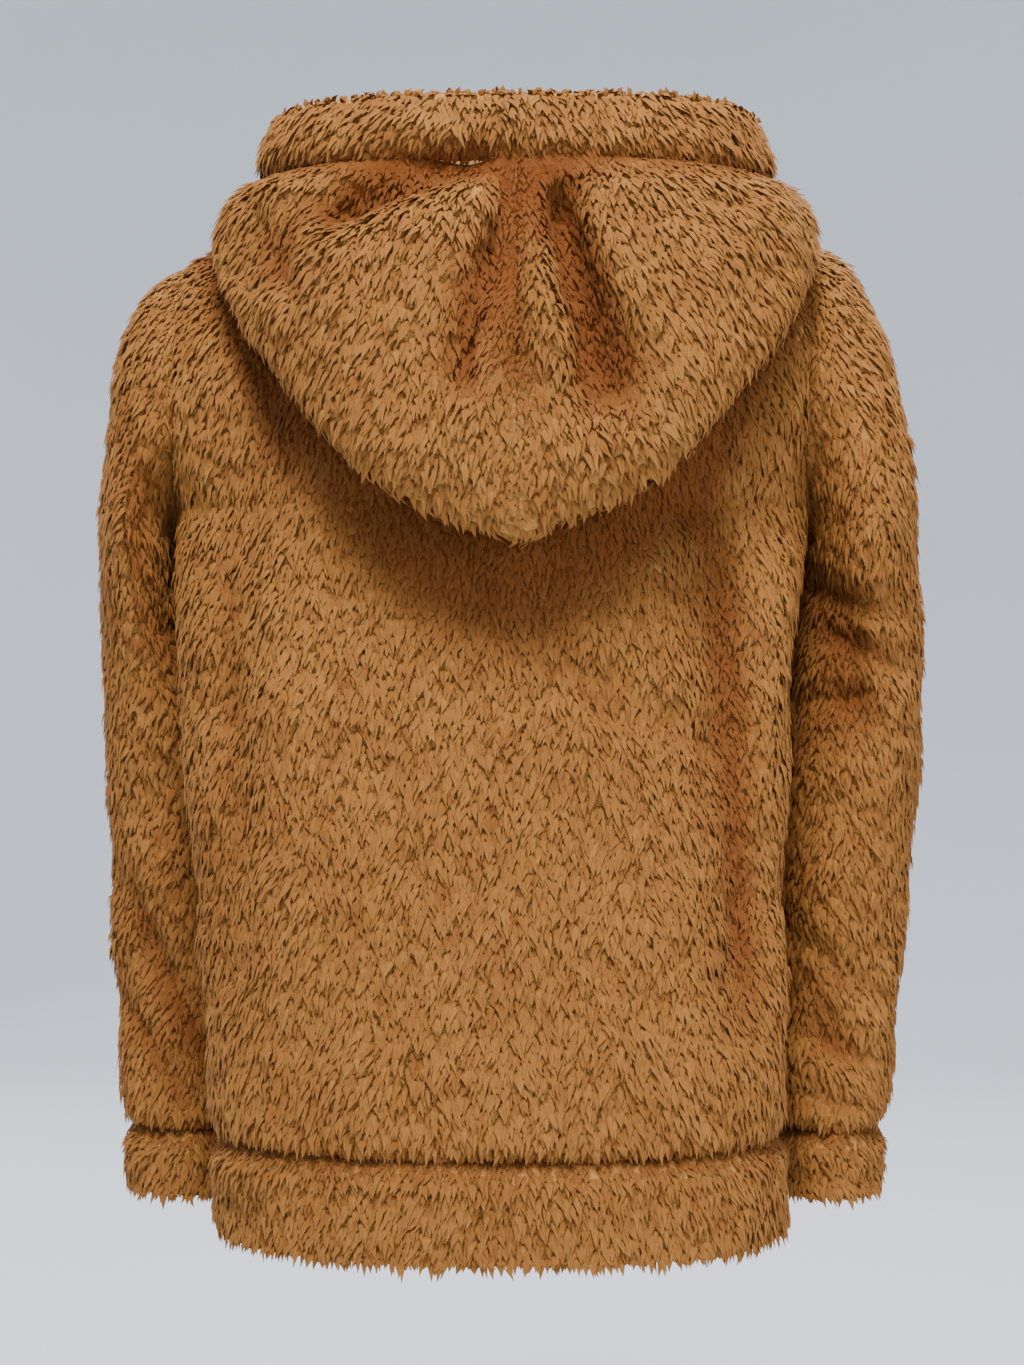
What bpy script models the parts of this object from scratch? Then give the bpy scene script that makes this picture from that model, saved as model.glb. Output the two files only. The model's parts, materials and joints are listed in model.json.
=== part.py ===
"""Zip-up hooded jacket of long-pile fleece, in the hollow form that it keeps when it is worn.

Every cloth piece is a wall: a ground of knitted backing with the pile standing on its outer face. The grounds
are lofted through sections that come from the tables below, cut where a maker would cut the cloth, and each
seam pinches the pile. Metres, +Z up. The front of the jacket faces -Y, and the wearer's left is at +X. The
origin is between the shoulders, at the height of the neck seam's sides.
"""

import math
from collections import namedtuple

import bmesh
import bpy
import numpy as np
from mathutils import Matrix

# Cloth
BACKING = 0.0015  # knitted ground of the fleece
PILE = 0.0065  # height of the fur over the ground
SEAM_PILE = 0.0022  # pile left standing where a seam pinches it
EDGE_PILE = 0.0045  # pile on the last row of a free edge, which rounds it
PRESSED_PILE = 0.0030  # pile that lies pressed between two layers
PRESSED_REACH = 0.035  # how far from the armhole the pile stays pressed
PRESSED_GAIN = 1.6  # over 1, so that the pile next to the armhole is pressed evenly
PRESSED_SHARE = 0.5  # share of the armhole's height, from the armpit, where it is pressed
PRESSED_TO = 0.34  # share of the pile's height that is left there
SEAM_GAP = 0.0003  # clearance between two pieces at a seam
SEAM_MARGIN = 0.012  # distance from a seam at which the pile stands up again
LAYER_GAP = 0.0030  # clearance between the hood and what it lies on
SHARED_POINT = 0.0001  # points nearer than this are one point of a seam
SIDES = {"bottom": (0, ...), "top": (-1, ...), "first": (slice(None), 0), "last": (slice(None), -1)}

# Body below the armpits. Half widths and depths are to the ground's outer face, and tuck is the share by
# which the front half of a section is narrower, where the sleeves hang.
BodySection = namedtuple("BodySection", "z left right side_y back_y front_y tuck")
BODY = [
    BodySection(-0.656, 0.1825, 0.1760, 0.012, 0.1350, -0.1160, 0.06),
    BodySection(-0.597, 0.1835, 0.1735, 0.018, 0.1350, -0.1170, 0.11),
    BodySection(-0.500, 0.1880, 0.1720, 0.026, 0.1310, -0.1180, 0.15),
    BodySection(-0.420, 0.1950, 0.1710, 0.030, 0.1270, -0.1210, 0.17),
    BodySection(-0.330, 0.2040, 0.1750, 0.030, 0.1240, -0.1270, 0.17),
    BodySection(-0.260, 0.2060, 0.1800, 0.026, 0.1210, -0.1290, 0.12),
    BodySection(-0.205, 0.2080, 0.1880, -0.004, 0.1190, -0.1260, 0.00),
]
SQUARENESS = 0.82  # exponent of the sections: 1 is an ellipse, and less is squarer
TUCK_FROM = 78  # degrees from the centre back at which the tuck starts
TUCK_OVER = 40  # degrees over which it grows
HEM_ROWS = (-0.656, -0.644, -0.626, -0.608, -0.597)  # from the hem's edge to its seam
BODY_ROWS = (-0.586, -0.556, -0.521, -0.486, -0.451, -0.416, -0.381, -0.346, -0.311, -0.276, -0.241)

# Neck seam and shoulders
NECK_HALF_WIDTH = 0.088
NECK_BACK_Y = 0.078
NECK_FRONT_Y = -0.082
NECK_TURNS = (0, 60, 90, 135, 180)
NECK_HEIGHTS = (-0.006, 0.0, -0.004, -0.042, -0.078)
SHOULDER_BULGE = 0.004
PANEL_SHARES = (0.0, 0.35, 0.7, 1.0)  # shares of the way up from the armpit for the two profiles
BACK_PROFILE = ((0.119, -0.205), (0.119, -0.145), (0.107, -0.068), (0.078, -0.006))
FRONT_PROFILE = ((-0.126, -0.205), (-0.117, -0.158), (-0.101, -0.112), (-0.082, -0.078))

# Armholes, each a plane egg at x, and the fan of sections by which the sleeve turns down under the armpit
Armhole = namedtuple("Armhole", "side x centre_y half_depth top bottom")
ARMHOLES = {
    "left": Armhole(1, 0.208, -0.004, 0.058, -0.043, -0.205),
    "right": Armhole(-1, 0.188, -0.004, 0.058, -0.030, -0.205),
}
EGG = 0.3  # how much fuller the armhole is below than above
ARMPIT_RADIUS = 0.012
FAN_DEGREES = (90, 74, 58, 43, 29, 17, 8, 0)

# Sleeves below the fan. Inner and outer are distances from the middle of the jacket.
SleeveSection = namedtuple("SleeveSection", "z inner outer centre_y half_depth")
SLEEVES = {
    "left": [
        SleeveSection(-0.217, 0.2200, 0.2590, -0.004, 0.062),
        SleeveSection(-0.260, 0.2140, 0.2625, -0.020, 0.061),
        SleeveSection(-0.330, 0.1950, 0.2635, -0.038, 0.058),
        SleeveSection(-0.400, 0.1850, 0.2635, -0.048, 0.054),
        SleeveSection(-0.480, 0.1790, 0.2620, -0.054, 0.050),
        SleeveSection(-0.560, 0.1780, 0.2590, -0.056, 0.046),
        SleeveSection(-0.607, 0.1790, 0.2560, -0.056, 0.044),
        SleeveSection(-0.648, 0.1800, 0.2535, -0.056, 0.043),
    ],
    "right": [
        SleeveSection(-0.217, 0.2000, 0.2590, -0.004, 0.062),
        SleeveSection(-0.260, 0.1960, 0.2645, -0.015, 0.062),
        SleeveSection(-0.330, 0.1850, 0.2670, -0.030, 0.059),
        SleeveSection(-0.400, 0.1800, 0.2640, -0.042, 0.055),
        SleeveSection(-0.480, 0.1760, 0.2585, -0.050, 0.051),
        SleeveSection(-0.560, 0.1750, 0.2530, -0.054, 0.046),
        SleeveSection(-0.607, 0.1750, 0.2480, -0.055, 0.044),
        SleeveSection(-0.648, 0.1760, 0.2455, -0.055, 0.043),
    ],
}
CUFF_ROWS = (-0.648, -0.637, -0.618, -0.607)
SLEEVE_ROWS = (-0.596, -0.568, -0.540, -0.511, -0.482, -0.453, -0.424)
SLEEVE_ROWS += (-0.394, -0.364, -0.334, -0.303, -0.272, -0.243)
ROUND_BELOW = 0.12  # how far below the armpit the sleeve's section has become round

# Hood, lying back on the shoulders. A row is a place round the neck, in degrees from the centre back. The
# fold is the hood's lower edge and the brim its opening. Stand and roll are the height and reach with which
# the cloth rises from the neck seam and falls back. Hang is how far the under layer comes down to the fold.
HoodSection = namedtuple(
    "HoodSection", "turn stand roll fold_x fold_y fold_z round hang brim_x brim_y brim_z flare puff"
)
HOOD = [
    HoodSection(0, 0.019, 0.010, 0.000, 0.152, -0.229, 0.020, 0.020, 0.000, 0.140, 0.034, 0.016, 0.016),
    HoodSection(25, 0.019, 0.010, 0.078, 0.147, -0.192, 0.019, 0.019, 0.070, 0.136, 0.034, 0.015, 0.015),
    HoodSection(45, 0.019, 0.010, 0.128, 0.122, -0.135, 0.017, 0.017, 0.113, 0.116, 0.035, 0.014, 0.012),
    HoodSection(60, 0.018, 0.010, 0.158, 0.091, -0.089, 0.014, 0.014, 0.137, 0.088, 0.036, 0.013, 0.009),
    HoodSection(75, 0.017, 0.009, 0.172, 0.052, -0.049, 0.012, 0.011, 0.149, 0.052, 0.036, 0.012, 0.006),
    HoodSection(90, 0.014, 0.009, 0.164, 0.011, -0.016, 0.011, 0.007, 0.147, 0.016, 0.035, 0.010, 0.004),
    HoodSection(110, 0.008, 0.008, 0.140, -0.036, -0.021, 0.009, 0.002, 0.131, -0.032, 0.030, 0.008, 0.002),
    HoodSection(135, 0.003, 0.006, 0.101, -0.074, -0.036, 0.007, -0.004, 0.098, -0.076, 0.018, 0.006, 0.000),
    HoodSection(160, 0.001, 0.004, 0.050, -0.098, -0.056, 0.005, -0.006, 0.052, -0.106, 0.002, 0.004, 0.000),
    HoodSection(180, 0.001, 0.003, 0.006, -0.103, -0.064, 0.004, -0.006, 0.006, -0.114, -0.006, 0.004, 0.000),
]
HOOD_SHIFT = -0.006  # the hood lies this far to the wearer's right
SHIFT_FROM = 150  # degrees from the centre back within which it does
SHIFT_OVER = 60  # degrees over which the shift grows
ROLL_SHARES = ((0.35, 0.75), (1.05, 1.0), (2.0, 0.45))  # of roll and stand, for the points over the roll
PUFF_SHARE = 0.55  # share of the way from the fold to the band's seam at which the hood stands out most
RISE = (0.35, 0.25)  # share of the clearance at the neck seam, and what each row above it adds
BAND_HEIGHT = 0.036
# Rows of the hood, counted in points of its section: 0 is the neck seam, 6 the fold and 9 the band's seam
HOOD_ROWS = (0, 1, 2, 3, 3.4, 3.8, 4.2, 4.6, 5, 5.5, 6, 6.5, 7, 7.25, 7.5, 7.75, 8, 8.25, 8.5, 8.7, 8.87, 9)
BAND_ROWS = (9.3, 9.62, 9.88, 10)
UNDER_ROWS = slice(1, 10)  # rows of the hood that lie pressed on the back and the shoulders

# Turns of the panels' columns: where they meet the neck seam, and where they run down the body
NECK_TURNS_BACK = (0, 9, 20, 32, 45, 60, 75, 90)
NECK_TURNS_FRONT = (176, 169, 158, 145, 132, 118, 104, 90)
BODY_TURNS_BACK = (0, 4, 12, 20, 28, 36, 44, 52, 62, 72, 81, 87, 90)
BODY_TURNS_FRONT = (178, 176.3, 170, 163, 155, 147, 139, 130, 118, 107, 98, 93, 90)
SHOULDER_SHARES = (0.25, 0.5, 0.75, 0.92, 1.0)
UPPER_SHARES = (0.0, 0.08, 0.17, 0.26, 0.35, 0.44, 0.53, 0.62, 0.71, 0.8, 0.88, 0.95, 1.0)

# Zip
ZIP_HALF_GAP = 0.0065  # from the middle to each front panel's edge
CHAIN_HALF_WIDTH = 0.0028
CHAIN_THICKNESS = 0.0024
TAPE_THICKNESS = 0.0010
CHAIN_TOP_ROW = -3  # row of the front panels, counted from the neck seam, at which the chain ends
SLIDER_HALF_WIDTH = 0.0045
SLIDER_HALF_HEIGHT = 0.0060
PLATE = 0.0012
SLOT = 0.0036
POST_HALF_WIDTH = 0.0022
POST_HALF_HEIGHT = 0.0018
BRIDGE_HALF_WIDTH = 0.0009
BRIDGE_HALF_HEIGHT = 0.0032
BRIDGE_GAP = 0.0026
BRIDGE_BAR = 0.0011
PULL_THICKNESS = 0.0012
PULL_HALF_WIDTH = 0.0030
PULL_LENGTH = 0.0240
PULL_SIDE = 0.0012  # width of the pull on each side of its eye
PULL_EYE = 0.0048  # from the hinge to the far edge of the pull's eye

# Large folds, as lines in the plane of X and Z on the side that face gives: 1 is the back and -1 the front.
# A trough has a negative height.
FOLD_END = 0.3  # share of a fold's length over which each of its ends runs out
FOLD_TURN = 1.6  # over 1, so that a fold keeps its height on cloth that turns a little away from its face
Fold = namedtuple("Fold", "face start end width height")
BODY_FOLDS = [
    Fold(1, (-0.118, -0.165), (-0.152, -0.520), 0.020, -0.013),
    Fold(1, (-0.160, -0.200), (-0.170, -0.560), 0.016, 0.005),
    Fold(1, (0.120, -0.180), (0.135, -0.420), 0.026, 0.005),
    Fold(1, (0.160, -0.160), (0.168, -0.500), 0.020, -0.006),
    Fold(1, (-0.020, -0.300), (-0.110, -0.350), 0.018, -0.003),
    Fold(-1, (0.135, -0.190), (0.115, -0.500), 0.022, -0.007),
    Fold(-1, (-0.125, -0.190), (-0.110, -0.520), 0.022, -0.007),
    Fold(-1, (0.075, -0.330), (0.065, -0.560), 0.022, 0.004),
    Fold(-1, (-0.075, -0.300), (-0.065, -0.520), 0.022, 0.004),
]
SLEEVE_FOLDS = {
    "left": [
        Fold(1, (0.238, -0.125), (0.226, -0.300), 0.013, -0.006),
        Fold(1, (0.250, -0.455), (0.198, -0.570), 0.012, -0.007),
        Fold(1, (0.258, -0.500), (0.215, -0.590), 0.011, -0.005),
        Fold(-1, (0.235, -0.360), (0.205, -0.430), 0.016, -0.007),
        Fold(-1, (0.245, -0.490), (0.200, -0.560), 0.014, -0.006),
    ],
    "right": [
        Fold(1, (-0.196, -0.235), (-0.222, -0.330), 0.016, -0.009),
        Fold(1, (-0.190, -0.345), (-0.240, -0.330), 0.014, -0.005),
        Fold(1, (-0.192, -0.500), (-0.222, -0.560), 0.014, -0.006),
        Fold(-1, (-0.235, -0.350), (-0.205, -0.420), 0.016, -0.007),
        Fold(-1, (-0.245, -0.480), (-0.200, -0.555), 0.014, -0.006),
    ],
}
HOOD_FOLDS = [
    Fold(1, (-0.006, -0.010), (-0.010, -0.150), 0.013, -0.009),
    Fold(1, (-0.030, -0.020), (-0.068, -0.150), 0.020, -0.014),
    Fold(1, (0.010, 0.000), (0.110, -0.036), 0.015, -0.011),
    Fold(1, (0.012, -0.050), (0.030, -0.135), 0.014, -0.008),
    Fold(1, (0.142, -0.030), (0.134, -0.078), 0.013, -0.007),
]

CLOTH_COLOUR = (0.50, 0.25, 0.085, 1.0)
TAPE_COLOUR = (0.32, 0.15, 0.055, 1.0)
METAL_COLOUR = (0.45, 0.36, 0.22, 1.0)

Wall = namedtuple("Wall", "ground normals pile seams closed")


def through(stations, values, at):
    """Reads a smooth curve through values, given at rising stations, at the places at."""
    stations = np.asarray(stations, float)
    values = np.asarray(values, float)
    at = np.clip(np.asarray(at, float), stations[0], stations[-1])
    slopes = np.gradient(values, stations, axis=0)
    index = np.clip(np.searchsorted(stations, at) - 1, 0, len(stations) - 2)
    span = stations[index + 1] - stations[index]
    t = (at - stations[index]) / span
    extra = (None,) * (values.ndim - 1)
    span = span[(...,) + extra]
    t = t[(...,) + extra]
    rise = slopes[index] * span
    fall = slopes[index + 1] * span
    from_start = (1 + 2 * t) * (1 - t) ** 2 * values[index] + t * (1 - t) ** 2 * rise
    return from_start + t**2 * (3 - 2 * t) * values[index + 1] - t**2 * (1 - t) * fall


def column(table, key, name, at):
    """Reads one named column of a table of sections at the places at of its key column."""
    rows = sorted(table, key=lambda row: getattr(row, key))
    return through([getattr(row, key) for row in rows], [getattr(row, name) for row in rows], at)


def ease(value):
    """Goes smoothly from 0 to 1 as value does."""
    value = np.clip(value, 0, 1)
    return value * value * (3 - 2 * value)


def unit(vectors):
    """Scales vectors to a length of 1."""
    return vectors / np.maximum(np.linalg.norm(vectors, axis=-1, keepdims=True), 1e-9)


def normals_of(ground, closed=False):
    """Outward unit normals of a grid of points, whose rows go up and whose columns go by rising turn."""
    along = np.gradient(ground, axis=0)
    if closed:
        across = np.roll(ground, -1, axis=1) - np.roll(ground, 1, axis=1)
    else:
        across = np.gradient(ground, axis=1)
    return unit(np.cross(across, along))


def folded(ground, folds, closed=False):
    """Moves the ground, but not its borders, along its normals into the folds that face its way."""
    normals = normals_of(ground, closed)
    depth = np.zeros(ground.shape[:2])
    for fold in folds:
        start = np.array(fold.start)
        run = np.array(fold.end) - start
        place = ground[..., (0, 2)] - start
        along = (place @ run) / (run @ run)
        reach = np.linalg.norm(place - np.clip(along, 0, 1)[..., None] * run, axis=-1)
        facing = ease(normals[..., 1] * fold.face * FOLD_TURN)
        taper = ease(along / FOLD_END + 0.5) * ease((1 - along) / FOLD_END + 0.5)
        depth += fold.height * np.exp(-((reach / fold.width) ** 2)) * taper * facing
    depth[[0, -1]] = 0
    if not closed:
        depth[:, [0, -1]] = 0
    return ground + depth[..., None] * normals


def body_point(turn, z):
    """Ground of the body below the armpits. Turn is in degrees from the centre back to the wearer's right."""
    turn, z = np.broadcast_arrays(np.asarray(turn, float), np.asarray(z, float))
    angle = np.radians(turn)
    read = {name: column(BODY, "z", name, z) for name in BodySection._fields[1:]}
    half = np.where(angle > 0, read["right"], read["left"])
    half = half * (1 - read["tuck"] * ease((np.abs(turn) - TUCK_FROM) / TUCK_OVER))
    depth = np.where(np.cos(angle) > 0, read["back_y"] - read["side_y"], read["side_y"] - read["front_y"])
    across = np.sign(np.sin(angle)) * np.abs(np.sin(angle)) ** SQUARENESS
    back = np.sign(np.cos(angle)) * np.abs(np.cos(angle)) ** SQUARENESS
    return np.stack([-half * across, read["side_y"] + depth * back, z], axis=-1)


def neck_point(turn):
    """Neck seam, at a turn in degrees from the centre back to the wearer's right."""
    turn = np.asarray(turn, float)
    angle = np.radians(turn)
    depth = np.where(np.cos(angle) > 0, NECK_BACK_Y, -NECK_FRONT_Y)
    z = through(NECK_TURNS, NECK_HEIGHTS, np.abs(turn))
    return np.stack([-NECK_HALF_WIDTH * np.sin(angle), depth * np.cos(angle), z], axis=-1)


def armhole_loop(hole):
    """Closed armhole: up the back from the armpit, and down the front."""
    share = np.array(UPPER_SHARES)
    height = np.sin(np.pi * share / 2) / 2 + (1 - np.cos(np.pi * share)) / 4
    depth = np.sin(np.pi * share) * (1 + EGG * np.cos(np.pi * share))
    height = np.concatenate([height, height[-2:0:-1]])
    depth = np.concatenate([depth, -depth[-2:0:-1]])
    z = hole.bottom + (hole.top - hole.bottom) * height
    return np.stack([height * 0 + hole.side * hole.x, hole.centre_y + hole.half_depth * depth, z], axis=-1)


def shoulder_line(hole):
    """Shoulder seam from beyond the neck to the shoulder's tip, at the columns' shares."""
    share = np.array(SHOULDER_SHARES)[:, None]
    neck = neck_point(-90.0 * hole.side)
    tip = np.array([hole.side * hole.x, hole.centre_y, hole.top])
    line = neck + (tip - neck) * share
    line[:, 2] += SHOULDER_BULGE * np.sin(np.pi * share[:, 0])
    return line


def upper_patch(bottom, top, middle, side):
    """Fills the four curves of half a panel above the armpit. Columns run from the middle to the side."""
    share = np.array(UPPER_SHARES)[:, None, None]
    toward_side = ease(np.linspace(0, 1, len(bottom)))[None, :, None]
    middle_bow = middle[:, None] - ((1 - share) * middle[0] + share * middle[-1])
    side_bow = side[:, None] - ((1 - share) * side[0] + share * side[-1])
    return (1 - share) * bottom + share * top + (1 - toward_side) * middle_bow + toward_side * side_bow


def half_panel(hole, back):
    """Ground of half the body from the hem to the neck, with columns from the middle to the side."""
    turns = -hole.side * np.array(BODY_TURNS_BACK if back else BODY_TURNS_FRONT, float)
    neck_turns = -hole.side * np.array(NECK_TURNS_BACK if back else NECK_TURNS_FRONT, float)
    heights = np.array(HEM_ROWS + BODY_ROWS + (hole.bottom,))
    lower = body_point(turns[None], heights[:, None])
    top = np.concatenate([neck_point(neck_turns), shoulder_line(hole)])
    share = np.array(UPPER_SHARES)
    profile = through(PANEL_SHARES, BACK_PROFILE if back else FRONT_PROFILE, share)
    middle = np.stack([share * 0, profile[:, 0], profile[:, 1]], axis=-1)
    if not back:
        lower[:, 0, 0] = hole.side * ZIP_HALF_GAP
        middle[:, 0] = hole.side * ZIP_HALF_GAP
        top[0, 0] = hole.side * ZIP_HALF_GAP
    loop = armhole_loop(hole)
    side = loop[: len(share)] if back else np.roll(loop[::-1], 1, axis=0)[: len(share)]
    return np.concatenate([lower[:-1], upper_patch(lower[-1], top, middle, side)])


def body_grounds():
    """Grounds of the back and the two fronts, each from the hem's edge to the neck."""
    left_hole, right_hole = ARMHOLES["left"], ARMHOLES["right"]
    back = np.concatenate([half_panel(left_hole, True)[:, :0:-1], half_panel(right_hole, True)], axis=1)
    return {
        "back_panel": folded(back, BODY_FOLDS),
        "front_left_panel": folded(half_panel(left_hole, False), BODY_FOLDS),
        "front_right_panel": folded(half_panel(right_hole, False)[:, ::-1], BODY_FOLDS),
    }


def sleeve_ground(hole, sections, folds):
    """Ground of a sleeve and its cuff, from the cuff's edge up to the armhole."""
    loop = armhole_loop(hole)
    pivot_z = hole.bottom - ARMPIT_RADIUS
    reach = loop[:, 2] - pivot_z
    egg = (loop[:, 1] - hole.centre_y) / hole.half_depth
    height = (loop[:, 2] - hole.bottom) / (hole.top - hole.bottom)
    steps = len(UPPER_SHARES) - 1
    share = np.array(UPPER_SHARES + UPPER_SHARES[-2:0:-1])
    round_height = (1 - np.cos(np.pi * share)) / 2
    round_depth = np.sin(np.pi * share) * np.where(np.arange(len(share)) > steps, -1, 1)
    rings = []
    for z in CUFF_ROWS + SLEEVE_ROWS:
        read = {name: float(column(sections, "z", name, z)) for name in SleeveSection._fields[1:]}
        mix = ease((pivot_z - z) / ROUND_BELOW)
        across = height + (round_height - height) * mix
        depth = egg + (round_depth - egg) * mix
        x = read["inner"] + (read["outer"] - read["inner"]) * across
        y = read["centre_y"] + read["half_depth"] * depth
        rings.append(np.stack([hole.side * x, y, x * 0 + z], axis=-1))
    top = sections[0]
    for degrees in FAN_DEGREES:
        angle = math.radians(degrees)
        tall = hole.top - pivot_z
        wide = top.outer - hole.x
        outer = 1 / math.hypot(math.cos(angle) / tall, math.sin(angle) / wide)
        ring_reach = ARMPIT_RADIUS + (reach - ARMPIT_RADIUS) * (outer - ARMPIT_RADIUS) / (tall - ARMPIT_RADIUS)
        half_depth = hole.half_depth + (top.half_depth - hole.half_depth) * math.sin(angle)
        x = hole.x + ring_reach * math.sin(angle)
        y = hole.centre_y + half_depth * egg
        z = pivot_z + ring_reach * math.cos(angle)
        rings.append(np.stack([hole.side * x, y, z], axis=-1))
    ground = np.array(rings)
    if hole.side > 0:
        ground = np.roll(ground[:, ::-1], 1, axis=1)
    return folded(ground, folds, closed=True)


def hood_turns():
    """Turns of the hood's columns and the neck seam's points at them.

    Behind, all but the last of the back panel's columns have another between them, halfway along the seam.
    """
    coarse = np.array(NECK_TURNS_BACK, float)
    between = (coarse[1:-1] + coarse[:-2]) / 2
    behind = np.sort(np.concatenate([coarse, between]))
    turns = np.concatenate([behind, np.array(NECK_TURNS_FRONT[-2::-1], float)])
    neck = neck_point(turns)
    neck[-1, 0] = -ZIP_HALF_GAP
    last = 2 * len(between)
    neck[1:last:2] = (neck[0 : last - 1 : 2] + neck[2 : last + 1 : 2]) / 2
    mirrored = neck[:0:-1] * np.array([-1, 1, 1])
    return np.concatenate([-turns[:0:-1], turns]), np.concatenate([mirrored, neck])


def hood_ground(carriers):
    """Ground of the hood and its band, from the neck seam over the roll and the fold up to the brim."""
    turns, neck = hood_turns()
    side = -np.sign(turns)
    read = {name: column(HOOD, "turn", name, np.abs(turns)) for name in HoodSection._fields[1:]}
    shift = HOOD_SHIFT * ease((SHIFT_FROM - np.abs(turns)) / SHIFT_OVER)
    fold = np.stack([side * read["fold_x"] + shift, read["fold_y"], read["fold_z"]], axis=-1)
    brim = np.stack([side * read["brim_x"] + shift, read["brim_y"], read["brim_z"]], axis=-1)
    up = np.array([0.0, 0.0, 1.0])
    outward = unit((fold - neck) * (1, 1, 0))
    stand, roll, radius, hang, flare, puff = (
        read[name][:, None] for name in ("stand", "roll", "round", "hang", "flare", "puff")
    )
    seam = brim + outward * flare - up * BAND_HEIGHT
    rising, crest, fall = (neck + outward * roll * out + up * stand * high for out, high in ROLL_SHARES)
    inner = fold - outward * radius + up * hang
    outer = fold + outward * radius + up * radius
    puffed = outer + (seam - outer) * PUFF_SHARE + outward * puff
    points = [neck, rising, crest, fall, (fall + inner) / 2, inner, fold, outer, puffed, seam, brim]
    ground = through(range(len(points)), np.array(points), HOOD_ROWS + BAND_ROWS)
    return lying_on(ground, carriers)


def lying_on(ground, carriers):
    """Lifts the hood clear of the pile of what carries it."""
    points = np.concatenate([grid.reshape(-1, 3) for grid, _ in carriers])
    normals = np.concatenate([normal.reshape(-1, 3) for _, normal in carriers])
    for row in range(1, len(ground)):
        facing_pile = PRESSED_PILE if row in range(*UNDER_ROWS.indices(len(ground))) else PILE
        clearance = (PILE + facing_pile + LAYER_GAP) * min(1.0, RISE[0] + RISE[1] * row)
        for _ in range(4):
            offset = ground[row][:, None] - points[None]
            nearest = np.argmin(np.linalg.norm(offset, axis=-1), axis=1)
            height = (offset[np.arange(len(nearest)), nearest] * normals[nearest]).sum(axis=-1)
            ground[row] += np.maximum(clearance - height, 0)[:, None] * normals[nearest]
    return ground


def share_seam_normals(grids, normals):
    """Gives the points that two or more grids have in common one normal, the mean of theirs."""
    sums = {}
    for name, grid in grids.items():
        for place in np.ndindex(grid.shape[:2]):
            key = tuple(np.round(grid[place] / SHARED_POINT).astype(int))
            sums.setdefault(key, []).append((name, place))
    for places in sums.values():
        if len(places) > 1:
            mean = unit(sum(normals[name][place] for name, place in places))
            for name, place in places:
                normals[name][place] = mean


def pile_on(ground, seams=(), edges=()):
    """Pile heights over a grid, pinched near seams and rounded along free edges."""
    pile = np.full(ground.shape[:2], PILE)
    for name in edges:
        pile[SIDES[name]] = EDGE_PILE
    for name in seams:
        border = ground[SIDES[name]]
        distance = np.linalg.norm(ground[:, :, None] - border, axis=-1).min(axis=-1)
        pile = np.minimum(pile, SEAM_PILE + (PILE - SEAM_PILE) * np.minimum(distance / SEAM_MARGIN, 1))
    return pile


def pressed_at_armpits(wall):
    """Presses the pile down round the lower half of each armhole, where the sleeves close on the body."""
    pile = wall.pile.copy()
    for hole in ARMHOLES.values():
        loop = armhole_loop(hole)
        low = loop[loop[:, 2] < hole.bottom + PRESSED_SHARE * (hole.top - hole.bottom)]
        distance = np.linalg.norm(wall.ground[:, :, None] - low, axis=-1).min(axis=-1)
        near = np.minimum(1, PRESSED_GAIN * np.exp(-((distance / PRESSED_REACH) ** 2)))
        pile = pile * (1 - (1 - PRESSED_TO) * near)
    return wall._replace(pile=pile)


def drawn_in(wall):
    """Draws a wall back from its seams by half the gap between two pieces."""
    ground = wall.ground.copy()
    rows = {"bottom": (0, 1), "top": (-1, -2)}
    columns = {"first": (0, 1), "last": (-1, -2)}
    for name in wall.seams:
        if name in rows:
            edge, inside = rows[name]
            border, within, normal = wall.ground[edge], wall.ground[inside], wall.normals[edge]
        else:
            edge, inside = columns[name]
            border, within, normal = wall.ground[:, edge], wall.ground[:, inside], wall.normals[:, edge]
        if wall.closed:
            along = unit(np.roll(border, -1, axis=0) - np.roll(border, 1, axis=0))
        else:
            along = unit(np.gradient(border, axis=0))
        inward = np.cross(along, normal)
        inward *= np.sign((inward * (within - border)).sum(axis=-1, keepdims=True))
        step = unit(inward) * SEAM_GAP / 2
        if name in rows:
            ground[edge] += step
        else:
            ground[:, edge] += step
    return wall._replace(ground=ground)


def make_object(name, mesh, colour, roughness=0.9, metallic=0.0):
    """Puts a mesh in the jacket's collection, with its own material."""
    material = bpy.data.materials.new(name)
    material.use_nodes = True
    shader = material.node_tree.nodes["Principled BSDF"]
    shader.inputs["Base Color"].default_value = colour
    shader.inputs["Roughness"].default_value = roughness
    shader.inputs["Metallic"].default_value = metallic
    mesh.materials.append(material)
    made = bpy.data.objects.new(name, mesh)
    bpy.data.collections["hooded_jacket"].objects.link(made)
    return made


def add_rim(shape, outer_first, outer_second, inner_second, inner_first):
    """Closes a wall between two points of its edge, split on the shorter way across so that seams match."""
    across = (outer_first.co - inner_second.co).length
    if across <= (outer_second.co - inner_first.co).length:
        shape.faces.new([outer_first, outer_second, inner_second])
        shape.faces.new([outer_first, inner_second, inner_first])
    else:
        shape.faces.new([outer_first, outer_second, inner_first])
        shape.faces.new([outer_second, inner_second, inner_first])


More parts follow.
